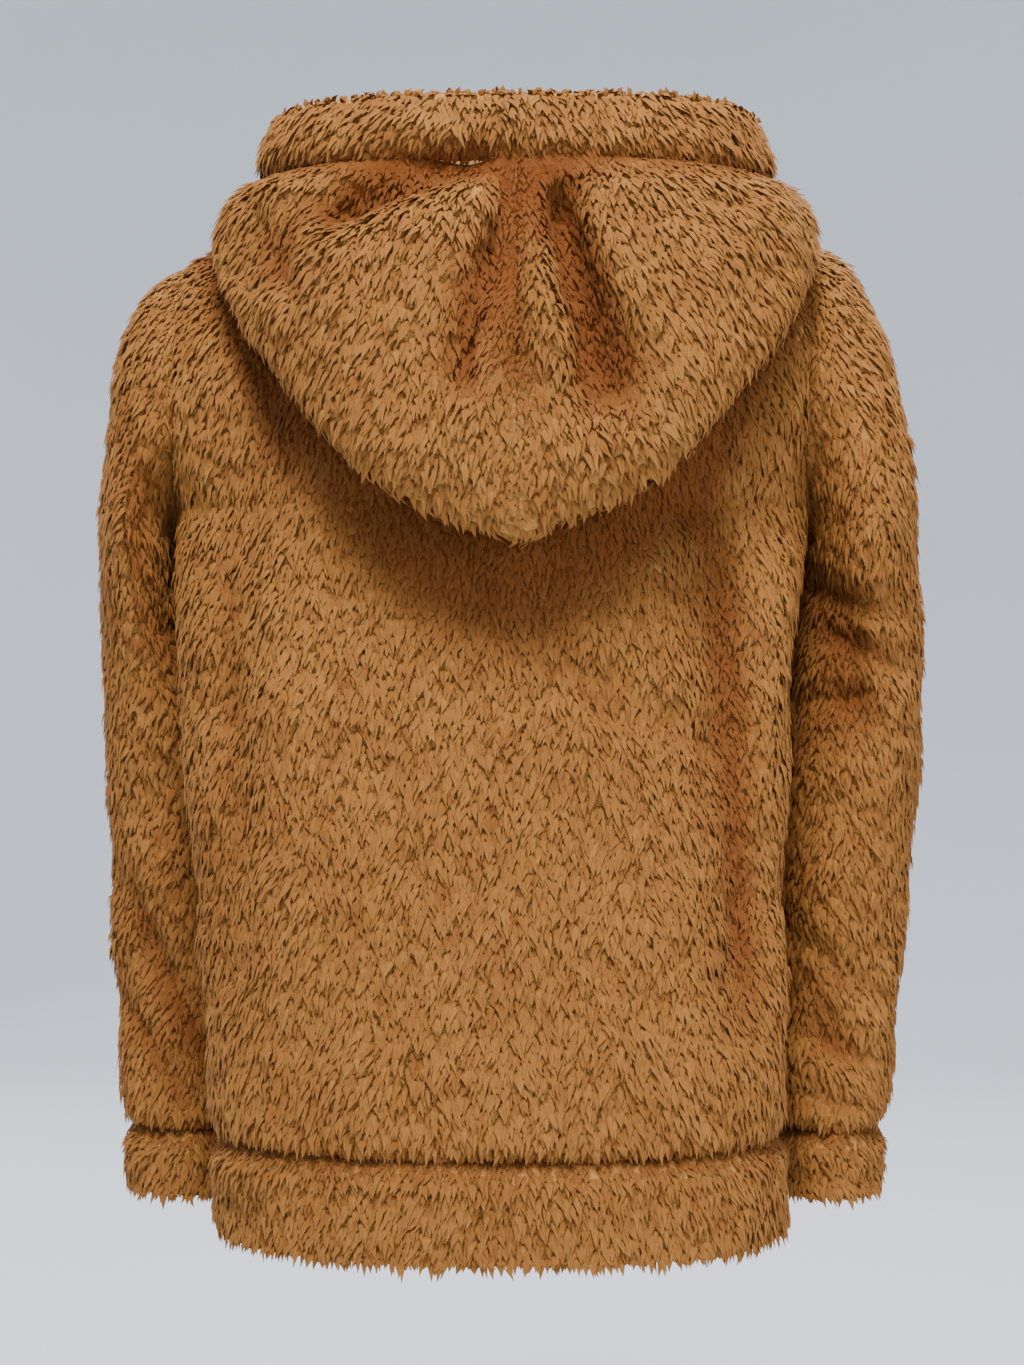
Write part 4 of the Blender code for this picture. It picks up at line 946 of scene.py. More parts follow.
def fur_material(settings):
    """Fur: dark at the roots and light at the tips, with fine strands along each lock. Painted shade makes it darker
    and redder in folds, under the hood, between clumps and between strands.
    """
    tint = opaque(settings.tip_colour)
    recipe = Recipe("long_pile_fur", Sheen_Weight=0.12, Sheen_Roughness=0.45, Sheen_Tint=tint, Specular_IOR_Level=0.12)
    shade = recipe.node("ShaderNodeAttribute", {"attribute_name": "shade"}, {})
    tone_and_shade, valley, along = recipe.parts("ShaderNodeSeparateColor", shade)
    strands_at = recipe.scaled(recipe.node("ShaderNodeUVMap", {"uv_map": "lock"}, {}), STRANDS)
    strands = recipe.noise(strands_at, 1.0, detail=4.0, roughness=0.75)
    root, body, tip = (opaque(getattr(settings, name)) for name in FUR_COLOURS)
    stops = [(0.0, root), (0.22, body), (0.7, body), (1.0, tip)]
    colour = recipe.node("ShaderNodeValToRGB", {"stops": stops}, {0: along + (strands - 0.5) * 0.3})
    deep = opaque(settings.fold_shade_colour)
    # Low tone pulls the colour to the fold shade: random tone, and painted shade between clumps.
    colour = recipe.mix((1 - tone_and_shade) * 0.62, colour, deep)
    # Painted shade in folds, grooves and under the hood.
    colour = recipe.mix(valley * 0.8, colour, deep)
    # Painted shade between the strands.
    colour = recipe.mix((strands - 0.36) * 3.0, colour, SHADE_BETWEEN_STRANDS, "MULTIPLY")
    return recipe.finish(
        Base_Color=colour, Roughness=0.92 - along * 0.22, Normal=recipe.bump(strands, 0.0009, 0.9)
    )


def root_material(settings):
    """The matted roots of the fur, seen between the locks, with painted shade in folds and under the hood."""
    recipe = Recipe("fur_roots", Specular_IOR_Level=0.1, Roughness=0.95)
    tufts = recipe.noise(recipe.place(), 420.0, detail=3.0)
    root = opaque(mixed(settings.root_colour, settings.tip_colour, 0.5))
    body = opaque(mixed(settings.root_colour, settings.tip_colour, 1.3))
    colour = recipe.node("ShaderNodeValToRGB", {"stops": [(0.35, root), (0.7, body)]}, {0: tufts})
    # Painted shade in folds, grooves and under the hood.
    valley = recipe.node("ShaderNodeAttribute", {"attribute_name": "valley"}, {}, 2)
    colour = recipe.mix(valley, colour, opaque(settings.fold_shade_colour))
    return recipe.finish(Base_Color=colour, Normal=recipe.bump(tufts, 0.002))


def knit_material(settings):
    """The backing's smooth knit, with its rows of stitches and painted shade between them, seen inside the jacket."""
    recipe = Recipe("knitted_backing", Specular_IOR_Level=0.25, Sheen_Weight=0.15)
    across, up, _ = recipe.parts("ShaderNodeSeparateXYZ", recipe.node("ShaderNodeUVMap", {"uv_map": "cloth"}, {}))
    rib = recipe.wave(across * (2 * math.pi / RIB))
    course = recipe.wave(up * (2 * math.pi / COURSE) + rib * 1.2)
    stitches = rib * 0.35 + course * 0.25 + 0.5
    patches = recipe.noise(recipe.place(), 18.0, detail=4.0)
    light, dark = opaque(settings.knit_colour), opaque(mixed(settings.knit_colour, settings.root_colour, 0.35))
    colour = recipe.mix(patches, dark, light)
    # Painted shade in the hollows between stitches.
    stitch_shade = recipe.mix(stitches, opaque((0.5, 0.5, 0.5)), opaque((1.0, 1.0, 1.0)))
    colour = recipe.mix(0.3, colour, stitch_shade, "MULTIPLY")
    return recipe.finish(Base_Color=colour, Roughness=0.95 - stitches * 0.1, Normal=recipe.bump(stitches, 0.0006))


def shown(name, mesh, materials, body="garment"):
    """Shows a mesh as a piece that rides on a body."""
    piece = bpy.data.objects.new(name, mesh)
    bpy.context.scene.collection.objects.link(piece)
    for material in materials:
        mesh.materials.append(material)
    mesh.shade_smooth()
    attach(piece, body)
    return piece


def bent_grid(ground, size, closed, valley=None):
    """A flat grid bent to the ground's points, with a UV map in metres. A closed one is joined to a tube."""
    rows, columns = ground.shape[:2]
    spans = columns if closed else columns - 1
    shape = bmesh.new()
    bmesh.ops.create_grid(shape, x_segments=spans, y_segments=rows - 1, size=0.5)
    cloth = shape.loops.layers.uv.new("cloth")
    shade = shape.verts.layers.float.new("valley")
    for vertex in shape.verts:
        across, up = round((vertex.co.x + 0.5) * spans), round((vertex.co.y + 0.5) * (rows - 1))
        for loop in vertex.link_loops:
            loop[cloth].uv = (size[0][across], size[1][up])
        vertex.co = ground[up, across % columns]
        vertex[shade] = 0.0 if valley is None else valley[up, across % columns]
    if closed:
        bmesh.ops.remove_doubles(shape, verts=shape.verts, dist=1e-7)
    return shape


def mesh_of(name, shape):
    """Turns a bmesh into a mesh."""
    mesh = bpy.data.meshes.new(name)
    shape.to_mesh(mesh)
    shape.free()
    return mesh


def thicken(piece, thickness, inner=0):
    """Gives a sheet its thickness, with the material of its inner face and its edges."""
    wall = piece.modifiers.new("thickness", "SOLIDIFY")
    wall.thickness = thickness
    wall.offset = -1
    wall.material_offset = wall.material_offset_rim = inner


def make_cloth(name, sheet, materials):
    """One sheet of cloth: roots on its outer face, and the knit on its inner face and its edges."""
    outer = sheet.ground + sheet.normals * ROOT_HEIGHT
    shape = bent_grid(outer, sheet.size, sheet.closed, sheet.valley)
    piece = shown(name + "_cloth", mesh_of(name, shape), materials)
    thicken(piece, ROOT_HEIGHT + BACKING, 1)
    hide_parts(name)
    return piece


def points_and_faces(shape):
    """What a bmesh is made of, as numbers. The bmesh is freed."""
    shape.verts.index_update()
    points = np.array([vertex.co for vertex in shape.verts])
    faces = [[vertex.index for vertex in face.verts] for face in shape.faces]
    shape.free()
    return points, faces


def steady_mesh(name, shape):
    """A mesh with its faces in the same order on every run, which some bmesh operators don't give."""
    points, faces = points_and_faces(shape)
    turned = [face[face.index(min(face)) :] + face[: face.index(min(face))] for face in faces]
    mesh = bpy.data.meshes.new(name)
    mesh.from_pydata(points.tolist(), [], sorted(turned))
    return mesh


def one_lock():
    """A lock of unit length and half width, ridged along its middle and drawn to a point."""
    shape = bmesh.new()
    bmesh.ops.create_grid(shape, x_segments=2, y_segments=2, size=1.0)
    tip = [vertex for vertex in shape.verts if vertex.co.y > 0.5]
    bmesh.ops.pointmerge(shape, verts=tip, merge_co=(0, 1, 0))
    points, faces = points_and_faces(shape)
    along = (points[:, 1] + 1) / 2
    width = np.interp(along, (0, 0.5, 1), (ROOT_WIDTH, 1, 0))
    ridge = (np.abs(points[:, 0]) - 1) * LOCK_RIDGE
    return Lock(along, faces, np.stack([points[:, 0], ridge], axis=-1) * width[:, None])


def scattered(sheet, area_each, source):
    """Places of locks over a sheet, about one to area_each: rows, columns, and shares of the way to the next."""
    ground = sheet.ground
    if sheet.closed:
        ground = np.concatenate([ground, ground[:, :1]], axis=1)
    edge_up = ground[1:, :-1] - ground[:-1, :-1]
    edge_across = ground[:-1, 1:] - ground[:-1, :-1]
    area = np.linalg.norm(np.cross(edge_across, edge_up), axis=-1)
    count = np.floor(area / area_each + source.random(area.shape)).astype(int)
    cell = np.repeat(np.arange(area.size), count.ravel())
    row, column = np.unravel_index(cell, area.shape)
    ordinal = np.arange(len(cell)) - np.repeat(np.cumsum(count.ravel()) - count.ravel(), count.ravel())
    share = (ordinal + source.random(len(cell))) / np.repeat(count.ravel(), count.ravel())
    flip = (row + column) % 2 == 1
    other = source.random(len(cell))
    up, across = np.where(flip, share, other), np.where(flip, other, share)
    return row, column, up, across


def read_at(grid, place, closed):
    """Reads a grid of values between four of its points."""
    row, column, up, across = place
    if closed:
        grid = np.concatenate([grid, grid[:, :1]], axis=1)
    if grid.ndim == 3:
        up, across = up[:, None], across[:, None]
    low = grid[row, column] * (1 - across) + grid[row, column + 1] * across
    high = grid[row + 1, column] * (1 - across) + grid[row + 1, column + 1] * across
    return low * (1 - up) + high * up


def nap_at(points, normals, flow, source):
    """The way in which the fur lies at each point: down the cloth, with swirls."""
    down = np.concatenate([points[:, :2] * (flow, NAP_SPREAD), np.full((len(points), 1), -1.0)], axis=1)
    nap = unit(down - (down * normals).sum(axis=-1, keepdims=True) * normals)
    side = np.cross(nap, normals)
    turn = source.normal(0, NAP_CHANCE, len(points))
    for wavelength, amount, seed in SWIRLS:
        turn = turn + ripples(points, wavelength, seed)[0] * amount
    return nap * np.cos(turn)[:, None] + side * np.sin(turn)[:, None]


def locks_mesh(name, lock, roots, normals, nap, shape, shade, source):
    """Many locks as one mesh. Shape holds each lock's length, width, lift, reach and curl."""
    length, width, lift, reach, curl = (column[:, None, None] for column in shape.T)
    along = lock.along[None, :, None]
    out, lie = normals[:, None], nap[:, None]
    side = np.cross(nap, normals)[:, None]
    _, rise = ripples(roots * CLUMP_STRETCH, CLUMP, CLUMP_SEED)
    draw = rise - (rise * normals).sum(axis=-1, keepdims=True) * normals
    bend = np.sin(np.pi * along)
    centre = roots[:, None] + length * (
        out * lift * (2 * along - along**2) + lie * reach * along**1.5 + side * curl * bend
    )
    centre = centre + draw[:, None] * length * DRAW * along**2
    tangent = unit(out * lift * (2 - 2 * along) + lie * reach * 1.5 * along**0.5 + side * curl * np.cos(np.pi * along))
    facing = unit(np.cross(tangent, side))
    across = lock.across[None]
    points = centre + width * (side * across[..., :1] + facing * across[..., 1:])
    count, size = points.shape[:2]
    corners = np.concatenate([np.array(face) for face in lock.faces])
    starts = np.cumsum([0] + [len(face) for face in lock.faces])
    mesh = bpy.data.meshes.new(name)
    mesh.vertices.add(count * size)
    mesh.vertices.foreach_set("co", points.astype(np.float32).ravel())
    mesh.loops.add(count * len(corners))
    mesh.loops.foreach_set("vertex_index", (np.arange(count)[:, None] * size + corners).ravel().astype(np.int32))
    mesh.polygons.add(count * len(lock.faces))
    mesh.polygons.foreach_set(
        "loop_start", (np.arange(count)[:, None] * len(corners) + starts[:-1]).ravel().astype(np.int32)
    )
    mesh.update(calc_edges=True)
    start = source.random(count) * STRAND_START
    strand = start[:, None] + lock.across[None, corners, 0] * STRAND_WIDTH
    uv = np.stack([strand, along[:, corners, 0] + 0 * strand], axis=-1)
    mesh.uv_layers.new(name="lock").uv.foreach_set("vector", uv.astype(np.float32).ravel())
    colour = np.ones((count, size, 4), np.float32)
    colour[..., :2] = shade[:, None]
    colour[..., 2] = lock.along[None]
    mesh.attributes.new("shade", "FLOAT_COLOR", "POINT").data.foreach_set("color", colour.ravel())
    return mesh


def grow_fur(name, sheet, settings, lock, material, source):
    """The fur of one cloth piece."""
    place = scattered(sheet, settings.lock_spacing**2, source)
    hidden = read_at(sheet.hidden, place, sheet.closed)
    kept = source.random(len(hidden)) > hidden * (1 - HIDDEN_SHARE)
    place = tuple(part[kept] for part in place)
    points, normals, pile, valley = (
        read_at(grid, place, sheet.closed) for grid in (sheet.ground, sheet.normals, sheet.pile, sheet.valley)
    )
    normals = unit(normals)
    nap = nap_at(points, normals, NAP_FLOW.get(name.split("_")[0], NAP_SPREAD), source)
    stand = (STAND[0] + STAND[1] * pile / PILE) * (1 - CROUCH * valley)
    clump = ripples(points * CLUMP_STRETCH, CLUMP, CLUMP_SEED)[0]
    count = len(points)
    patch = sum(ripples(points, wavelength, seed)[0] / 2 for wavelength, seed in PATCHES)
    change = 1 + LENGTH_CHANGE[0] * clump + LENGTH_CHANGE[1] * source.normal(size=count)
    length = settings.lock_length * stand * change.clip(*LENGTH_LIMITS)
    width = settings.lock_width / 2 * (WIDTH_OF_STAND[0] + WIDTH_OF_STAND[1] * stand) * source.uniform(*WIDTHS, count)
    lift, reach = source.uniform(*LIFTS, count), source.uniform(*REACHES, count)
    curl = source.normal(0, CURL, count)
    # Locks where the clumps part are darker: painted shade in the slits between clumps.
    tone_and_shade = TONE_AND_SHADE[0] + TONE_AND_SHADE[1] * patch + TONE_AND_SHADE[2] * source.normal(size=count) - TONE_AND_SHADE[3] * (-clump).clip(0, 1)
    tone_and_shade = tone_and_shade.clip(0, 1)
    shape = np.stack([length, width, lift, reach, curl], axis=-1)
    mesh = locks_mesh(name + "_fur", lock, points, normals, nap, shape, np.stack([tone_and_shade, valley], axis=-1), source)
    return shown(name + "_fur", mesh, [material])


def edge_locks(name, sheet, row, settings, lock, material, source):
    """Fur that wraps a free edge of a band: locks that lean over the edge and past it."""
    grids = (sheet.ground[row], sheet.ground[1 if row == 0 else -2], sheet.normals[row])
    if sheet.closed:
        grids = (np.concatenate([grid, grid[:1]]) for grid in grids)
    border, inside, normals = grids
    past = unit(border - inside)
    lengths = lengths_along(border)
    picked = []
    for share in EDGE_LINES:
        places = source.uniform(0, lengths[-1], int(lengths[-1] / settings.lock_spacing * EDGE_CROWD))
        column = np.interp(places, lengths, np.arange(len(lengths)))
        low = np.clip(column.astype(int), 0, len(lengths) - 2)
        part = (column - low)[:, None]
        point, normal, way = (grid[low] * (1 - part) + grid[low + 1] * part for grid in (border, normals, past))
        out = unit(normal * share + way * (1 - abs(share)) * EDGE_TURN)
        root = point + normal * (ROOT_HEIGHT * (share + 1) / 2 - BACKING * (1 - share) / 2) - way * EDGE_INSET
        lie = way * EDGE_LIE[0] + np.array(EDGE_LIE[1]) + source.normal(0, EDGE_LIE[2], out.shape)
        lie = unit(lie - (lie * out).sum(axis=-1, keepdims=True) * out)
        picked.append((root, out, lie))
    roots, out, lie = (np.concatenate(parts) for parts in zip(*picked))
    count = len(roots)
    half = settings.lock_width / 2
    spans = ((settings.lock_length, EDGE_LENGTHS), (half, EDGE_WIDTHS), (1, EDGE_LIFTS), (1, EDGE_REACHES))
    shape = [most * source.uniform(*span, count) for most, span in spans]
    shape = np.stack([*shape, source.normal(0, EDGE_CURL, count)], axis=-1)
    tone_and_shade = (EDGE_TONE[0] + EDGE_TONE[1] * source.normal(size=count)).clip(0, 1)
    mesh = locks_mesh(name + "_edge_fur", lock, roots, out, lie, shape, np.stack([tone_and_shade, tone_and_shade * 0], axis=-1), source)
    return shown(name + "_edge_fur", mesh, [material])


def chain_path(walls):
    """Middle line of the closed zip, from the hem's edge up, with its outward normals."""
    ground, normals = zip_path(walls, "left", (0,))
    line = (ground - normals * (BACKING + SEAM_GAP + TAPE_THICKNESS / 2))[:, 0]
    line[:, 0] = 0
    flat = normals[:, 0].copy()
    flat[:, 0] = 0
    return line, unit(flat)


def placed(line, normals, spacing, start, end):
    """Frames at even distances along a line: points, ways along it and outward normals."""
    lengths = lengths_along(line)
    at = np.arange(start, lengths[-1] - end, spacing)
    points = through(lengths, line, at)
    ways = unit(through(lengths, line, at + spacing / 2) - through(lengths, line, at - spacing / 2))
    return points, ways, unit(through(lengths, normals, at))


def repeated(name, shape, places):
    """One mesh with a copy of a small shape at every place, given as 4 by 4 matrices."""
    points, faces = points_and_faces(shape)
    moved = np.einsum("nij,vj->nvi", places[:, :3, :3], points) + places[:, None, :3, 3]
    corners = [[index + number * len(points) for index in face] for number in range(len(places)) for face in faces]
    mesh = bpy.data.meshes.new(name)
    mesh.from_pydata(moved.reshape(-1, 3).tolist(), [], corners)
    return mesh


def frames_of(points, across, out, along):
    """Matrices whose X, Y and Z are the ways across, out and along at each point."""
    made = np.zeros((len(points), 4, 4))
    made[:, :3, 0], made[:, :3, 1], made[:, :3, 2], made[:, :3, 3] = across, out, along, points
    made[:, 3, 3] = 1
    return made


def edges_of(vertices):
    """Edges at some vertices, each once, in an order that is the same on every run."""
    return list(dict.fromkeys(edge for vertex in vertices for edge in vertex.link_edges))


def round_off(shape, edges, radius, segments=2):
    """Rounds some edges of a bmesh."""
    how = {"offset_type": "OFFSET", "affect": "EDGES", "profile": 0.5, "material": -1}
    bmesh.ops.bevel(shape, geom=edges, offset=radius, segments=segments, **how)


def rounded_box(shape, low, high, radius, segments=2):
    """Adds a box with rounded edges between two corners to a bmesh."""
    low, high = np.array(low), np.array(high)
    place = Matrix.Translation((low + high) / 2) @ Matrix.Diagonal((*(high - low), 1))
    made = bmesh.ops.create_cube(shape, size=1, matrix=place)["verts"]
    edges = edges_of(made)
    round_off(shape, edges, radius, segments)


def tape_material(settings):
    """Woven zip tape, with painted shade between its threads."""
    recipe = Recipe("woven_tape", Specular_IOR_Level=0.3)
    x, _, z = recipe.parts("ShaderNodeSeparateXYZ", recipe.place())
    warp = recipe.wave(x * (2 * math.pi / WARP))
    weft = recipe.wave(z * (2 * math.pi / WEFT) + warp * 2.0)
    weave = warp * 0.25 + weft * 0.25 + 0.5
    tape = opaque(settings.tape_colour)
    # Painted shade between the threads of the weave.
    colour = recipe.mix(weave, opaque(mixed(settings.tape_colour, (0, 0, 0), 0.4)), tape)
    return recipe.finish(Base_Color=colour, Roughness=0.85 - weave * 0.1, Normal=recipe.bump(weave, 0.0004))


def teeth_material(settings):
    """Moulded teeth of the zip, a little worn on their faces."""
    recipe = Recipe("moulded_teeth", Specular_IOR_Level=0.5)
    wear = recipe.noise(recipe.place(), 260.0, detail=3.0)
    dark, light = opaque(settings.tape_colour), opaque(mixed(settings.tape_colour, settings.tip_tint, 0.18))
    return recipe.finish(
        Base_Color=recipe.mix(wear, dark, light), Roughness=0.34 + wear * 0.2, Normal=recipe.bump(wear, 0.0001)
    )


def metal_material(settings):
    """Antique brass of the slider and its pull, with darker patches of tarnish and fine scratches."""
    recipe = Recipe("antique_brass", Metallic=1.0)
    place = recipe.place()
    tarnish = recipe.noise(place, 380.0, detail=4.0)
    scratches = recipe.noise(recipe.scaled(place, (900.0, 900.0, 90.0)), 1.0, detail=2.0)
    light, dark = opaque(settings.metal_colour), opaque(mixed(settings.metal_colour, (0, 0, 0), 0.55))
    return recipe.finish(
        Base_Color=recipe.mix(tarnish, dark, light), Roughness=0.28 + scratches * 0.25,
        Normal=recipe.bump(scratches, 0.00006),
    )


def make_tapes(walls, material):
    """The two tapes, as woven strips behind the fronts' edges."""
    for side, sign in (("left", 1), ("right", -1)):
        ground, normals = zip_path(walls, side, (0, 1))
        edge = ground[:, :1].copy()
        edge[..., 0] = sign * (CHAIN_HALF_WIDTH + SEAM_GAP)
        ground = np.concatenate([edge, ground], axis=1)
        normals = np.concatenate([normals[:, :1], normals], axis=1)
        ground = ground - normals * (BACKING + SEAM_GAP + TAPE_THICKNESS)
        if side == "right":
            ground, normals = ground[:, ::-1], normals[:, ::-1]
        rows, columns = fine_places(ground, 0, TAPE_FINE), fine_places(ground, 1, TAPE_FINE)
        ground, normals = finer(ground, rows, columns, False), finer(normals, rows, columns, False)
        size = (arcs(ground, 1), arcs(ground, 0))
        name = f"zip_tape_{side}"
        shape = bent_grid(ground + unit(normals) * TAPE_THICKNESS, size, False)
        piece = shown(name + "_woven", mesh_of(name, shape), [material])
        thicken(piece, TAPE_THICKNESS)
        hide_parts(name)


def make_teeth(walls, settings, material):
    """Two rows of moulded teeth that mesh in the middle, on the line of the closed zip."""
    line, normals = chain_path(walls)
    pitch = settings.tooth_pitch
    points, along, out = placed(line, normals, pitch, *TOOTH_ENDS)
    side = np.where(np.arange(len(points)) % 2 == 0, 1.0, -1.0)[:, None]
    across = np.cross(along, out) * side
    shape = bmesh.new()
    half, tall = CHAIN_THICKNESS / 2, pitch * TOOTH_HALF
    rounded_box(shape, (TOOTH_ROOT, -half, -tall), (CHAIN_HALF_WIDTH, half, tall), SMALL_ROUND, 1)
    outer = [vertex for vertex in shape.verts if vertex.co.x > TOOTH_TAPER[1]]
    bmesh.ops.scale(shape, vec=(1, 1, TOOTH_TAPER[0]), verts=outer)
    mesh = repeated("zip_teeth", shape, frames_of(points, across, out, along))
    turned = bmesh.new()
    turned.from_mesh(mesh)
    bmesh.ops.recalc_face_normals(turned, faces=turned.faces)
    turned.to_mesh(mesh)
    turned.free()
    piece = shown("zip_teeth", mesh, [material])
    mesh.set_sharp_from_angle(angle=SHARP)
    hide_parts("zip_chain")


def slider_place(walls):
    """Where the slider sits at the top of the chain, and how it leans."""
    line, normals = chain_path(walls)
    along = unit(line[-1] - line[-2])
    tilt = math.atan2(-along[1], along[2])
    centre = line[-1] + along * POST_HALF_HEIGHT / 2
    return Matrix.Translation(centre) @ Matrix.Rotation(tilt, 4, "X")


def make_slider(walls, material):
    """Slider's two plates with their flanges and post, and the bridge that carries the pull."""
    place = slider_place(walls)
    back = SLOT / 2 + PLATE
    front = -back
    wide, tall, narrow, post = SLIDER_HALF_WIDTH, SLIDER_HALF_HEIGHT, BRIDGE_HALF_WIDTH, POST_HALF_WIDTH
    bridge_top = front - BRIDGE_GAP - BRIDGE_BAR
    arm = BRIDGE_HALF_HEIGHT - BRIDGE_BAR
    foot = front + OVERLAP
    flange = (front + 0.0002, front + PLATE + 0.0012)
    shape = bmesh.new()
    for low, high, radius in (
        ((-wide, front, -tall), (wide, front + PLATE, tall), SLIDER_ROUND),
        ((-wide, back - PLATE, -tall), (wide, back, tall), SLIDER_ROUND),
        ((-wide, flange[0], -tall * 0.8), (FLANGE - wide, flange[1], tall * 0.5), FINE_ROUND),
        ((wide - FLANGE, flange[0], -tall * 0.8), (wide, flange[1], tall * 0.5), FINE_ROUND),
        ((-post, foot, POST_HALF_HEIGHT), (post, back - OVERLAP, tall * 0.9), SMALL_ROUND),
        ((-narrow, bridge_top, arm), (narrow, foot, BRIDGE_HALF_HEIGHT), FINE_ROUND),
        ((-narrow, bridge_top, -BRIDGE_HALF_HEIGHT), (narrow, foot, -arm), FINE_ROUND),
        ((-narrow, bridge_top, -arm - OVERLAP), (narrow, bridge_top + BRIDGE_BAR, arm + OVERLAP), FINE_ROUND),
    ):
        rounded_box(shape, low, high, radius)
    shape.transform(place)
    piece = shown("zip_slider_body", mesh_of("zip_slider_body", shape), [material])
    piece.data.set_sharp_from_angle(angle=SHARP)
    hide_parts("zip_slider")


def make_pull(walls, material):
    """Pull tab: a flat drop with an eye at the hinge."""
    hinge = slider_place(walls) @ Matrix.Translation((0, -(SLOT / 2 + PLATE) - BRIDGE_GAP / 2, 0))
    half = PULL_THICKNESS / 2
    inner = PULL_HALF_WIDTH - PULL_SIDE
    shape = bmesh.new()
    loops = []
    outline = ((PULL_HALF_WIDTH, -PULL_LENGTH, half), (inner, -PULL_EYE, -half))
    for half_width, low, high in outline:
        ring = bmesh.ops.create_circle(shape, segments=PULL_SIDES, radius=1.0)["verts"]
        for vertex in ring:
            x, z = vertex.co.x, vertex.co.y
            square = max(abs(x), abs(z)) ** PULL_SQUARE
            vertex.co = (half_width * x / square, half, (low + high) / 2 + (high - low) / 2 * z / square)
        loops += edges_of(ring)
    bmesh.ops.bridge_loops(shape, edges=loops)
    back = bmesh.ops.extrude_face_region(shape, geom=shape.faces[:])["geom"]
    moved = [item for item in back if isinstance(item, bmesh.types.BMVert)]
    bmesh.ops.translate(shape, vec=(0, -PULL_THICKNESS, 0), verts=moved)
    bmesh.ops.recalc_face_normals(shape, faces=shape.faces)
    rims = [edge for edge in shape.edges if len(edge.link_faces) == 2 and edge.calc_face_angle() > RIM_ANGLE]
    round_off(shape, rims, FINE_ROUND)
    shape.transform(hinge)
    piece = shown("zip_pull_tab", steady_mesh("zip_pull_tab", shape), [material], body="pull")
    piece.data.set_sharp_from_angle(angle=SHARP)
    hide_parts("zip_pull")


def size_of(label, about, default, unit="LENGTH"):
    return FloatProperty(name=label, description=about, default=default, unit=unit)


def colour_of(label, about, *default):
    return FloatVectorProperty(name=label, description=about, default=default, subtype="COLOR")


class FleeceSettings(bpy.types.PropertyGroup):
    """Sizes and colours of the fleece."""

    lock_length: size_of("Lock length", "Length of a lock of fur", 0.0128)
    lock_width: size_of("Lock width", "Width of a lock of fur", 0.0040)
    lock_spacing: size_of("Lock spacing", "Distance from lock to lock", 0.0029)
    root_colour: colour_of("Roots", "Colour at the fur's roots", 0.36, 0.145, 0.034)
    body_colour: colour_of("Fur", "Colour of most of the fur", 0.43, 0.19, 0.045)
    tip_colour: colour_of("Tips", "Colour at the fur's tips", 0.50, 0.24, 0.066)
    # Painted shade: the colour laid on the fur in folds, grooves, under the hood and between clumps.
    fold_shade_colour: colour_of("Folds", "Colour of the fur in folds", 0.19, 0.052, 0.011)
    knit_colour: colour_of("Knit", "Colour of the knitted backing", 0.47, 0.25, 0.10)


class ZipSettings(bpy.types.PropertyGroup):
    """Sizes and colours of the zip."""

    tooth_pitch: size_of("Tooth pitch", "Distance from tooth to tooth", 0.0019)
    tape_colour: colour_of("Tape", "Colour of the tapes and teeth", 0.20, 0.085, 0.028)
    tip_tint: colour_of("Worn teeth", "Colour of the teeth where they are worn", 0.8, 0.7, 0.5)
    metal_colour: colour_of("Metal", "Colour of the slider and its pull", 0.50, 0.37, 0.19)


class StageSettings(bpy.types.PropertyGroup):
    """Camera, floor and light."""

    camera_distance: size_of("Camera distance", "From the camera to the jacket's middle", 1.5)
    camera_height: size_of("Camera height", "Height of the camera", -0.313)
    camera_turn: FloatProperty(
        name="Camera turn", description="Turn of the camera round the jacket", default=math.radians(181.0),
        subtype="ANGLE",
    )
    camera_aside: size_of("Camera aside", "How far the camera stands to its own right", 0.0025)
    lens: FloatProperty(name="Lens", description="Focal length", default=60.8, subtype="DISTANCE_CAMERA")
    floor_height: size_of("Floor", "Height of the floor", -1.05)
    floor_colour: colour_of("Floor colour", "Colour of the floor and the wall", 0.69, 0.73, 0.785)
    light: FloatProperty(name="Light", description="Strength of all the lamps", default=1.0, min=0.0)
    seed: IntProperty(name="Seed", description="Seed of the fur's unevenness", default=7)


WALLS = {}
SHEETS = {}


def walls_of():
    """The cloth's walls, worked out once."""
    if not WALLS:
        WALLS.update(cloth_walls())
    return WALLS


def sheets_of():
    """The cloth's fine sheets, worked out once."""
    if not SHEETS:
        SHEETS.update(cloth_sheets(walls_of()))
    return SHEETS


class JACKET_OT_cloth(bpy.types.Operator):
    """Makes the cloth pieces and the fur that grows on them"""

    bl_idname = "jacket.cloth"
    bl_label = "Cloth and fur"

    def execute(self, context):
        settings = context.scene.jacket_fleece
        source = np.random.default_rng(context.scene.jacket_stage.seed)
        cloth_materials = [root_material(settings), knit_material(settings)]
        fur = fur_material(settings)
        lock = one_lock()
        for name, sheet in sheets_of().items():
            piece = make_cloth(name, sheet, cloth_materials)
            on_it = [grow_fur(name, sheet, settings, lock, fur, source)]
            if name in FREE_EDGES:
                on_it.append(edge_locks(name, sheet, FREE_EDGES[name], settings, lock, fur, source))
        return {"FINISHED"}


class JACKET_OT_zip(bpy.types.Operator):
    """Makes the zip's tapes, teeth, slider and pull"""

    bl_idname = "jacket.zip"
    bl_label = "Zip"

    def execute(self, context):
        settings = context.scene.jacket_zip
        walls = walls_of()
        metal = metal_material(settings)
        make_tapes(walls, tape_material(settings))
        make_teeth(walls, settings, teeth_material(settings))
        make_slider(walls, metal)
        make_pull(walls, metal)
        return {"FINISHED"}


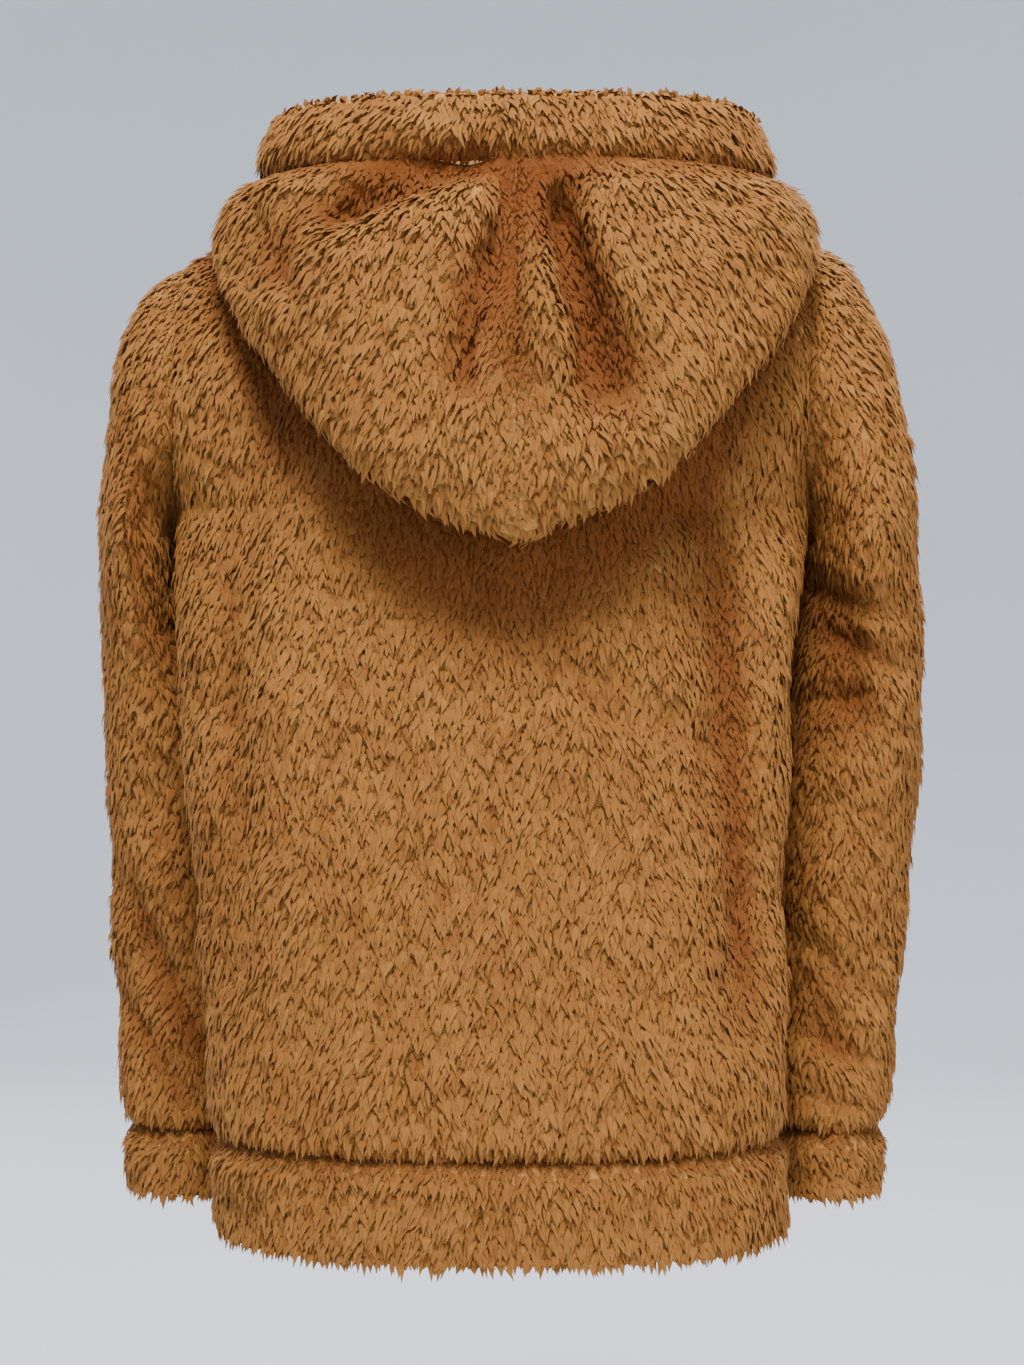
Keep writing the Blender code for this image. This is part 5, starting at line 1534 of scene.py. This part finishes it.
class JACKET_OT_stage(bpy.types.Operator):
    """Makes the floor, the light and the camera"""

    bl_idname = "jacket.stage"
    bl_label = "Stage"

    def execute(self, context):
        settings = context.scene.jacket_stage
        recipe = Recipe("pale_wall", Roughness=0.9, Specular_IOR_Level=0.1)
        shape = bmesh.new()
        line = [shape.verts.new((x, 0, settings.floor_height + z)) for x, z in FLOOR_PROFILE]
        edges = [shape.edges.new(pair) for pair in zip(line, line[1:])]
        bmesh.ops.spin(
            shape, geom=line + edges, cent=(0, 0, 0), axis=(0, 0, 1), angle=2 * math.pi, steps=FLOOR_STEPS,
            use_merge=True,
        )
        bmesh.ops.remove_doubles(shape, verts=shape.verts, dist=1e-5)
        bmesh.ops.recalc_face_normals(shape, faces=shape.faces)
        mesh = mesh_of("floor", shape)
        mesh.materials.append(recipe.finish(Base_Color=opaque(settings.floor_colour)))
        mesh.shade_smooth()
        floor = bpy.data.objects.new("floor", mesh)
        context.scene.collection.objects.link(floor)
        for name, place, size, power in LAMPS:
            lamp = bpy.data.lights.new(name, "AREA")
            lamp.size = size
            lamp.energy = power * settings.light
            made = bpy.data.objects.new(name, lamp)
            made.location = place
            made.rotation_euler = (AIM - Vector(place)).to_track_quat("-Z", "Y").to_euler()
            context.scene.collection.objects.link(made)
        world = bpy.data.worlds.new("soft_light")
        world.use_nodes = True
        sky = world.node_tree.nodes["Background"].inputs
        sky["Color"].default_value = opaque(settings.floor_colour)
        sky["Strength"].default_value = WORLD_LIGHT * settings.light
        context.scene.world = world
        turn = settings.camera_turn
        back = Vector((math.sin(turn), -math.cos(turn), 0))
        camera = bpy.data.objects.new("camera", bpy.data.cameras.new("camera"))
        camera.data.lens = settings.lens
        aside = Vector((math.cos(turn), math.sin(turn), 0)) * settings.camera_aside
        camera.location = back * settings.camera_distance + aside + Vector((0, 0, settings.camera_height))
        camera.rotation_euler = (-back).to_track_quat("-Z", "Y").to_euler()
        context.scene.collection.objects.link(camera)
        context.scene.camera = camera
        return {"FINISHED"}


class JACKET_PT_panel(bpy.types.Panel):
    """Lists the jacket's settings and steps"""

    bl_label = "Hooded jacket"
    bl_idname = "JACKET_PT_panel"
    bl_space_type = "VIEW_3D"
    bl_region_type = "UI"
    bl_category = "Jacket"

    def draw(self, context):
        for key, group in GROUPS.items():
            for name in group.__annotations__:
                self.layout.prop(getattr(context.scene, key), name)
        for operator in (JACKET_OT_cloth, JACKET_OT_zip, JACKET_OT_stage):
            self.layout.operator(operator.bl_idname)


GROUPS = {"jacket_fleece": FleeceSettings, "jacket_zip": ZipSettings, "jacket_stage": StageSettings}
CLASSES = (*GROUPS.values(), JACKET_OT_cloth, JACKET_OT_zip, JACKET_OT_stage, JACKET_PT_panel)


def register():
    for made in CLASSES:
        bpy.utils.register_class(made)
    for name, group in GROUPS.items():
        setattr(bpy.types.Scene, name, PointerProperty(type=group))


def unregister():
    for name in GROUPS:
        delattr(bpy.types.Scene, name)
    for made in reversed(CLASSES):
        bpy.utils.unregister_class(made)


def main():
    register()
    bpy.ops.jacket.stage()
    bpy.ops.jacket.cloth()
    bpy.ops.jacket.zip()


if __name__ == "__main__":
    main()
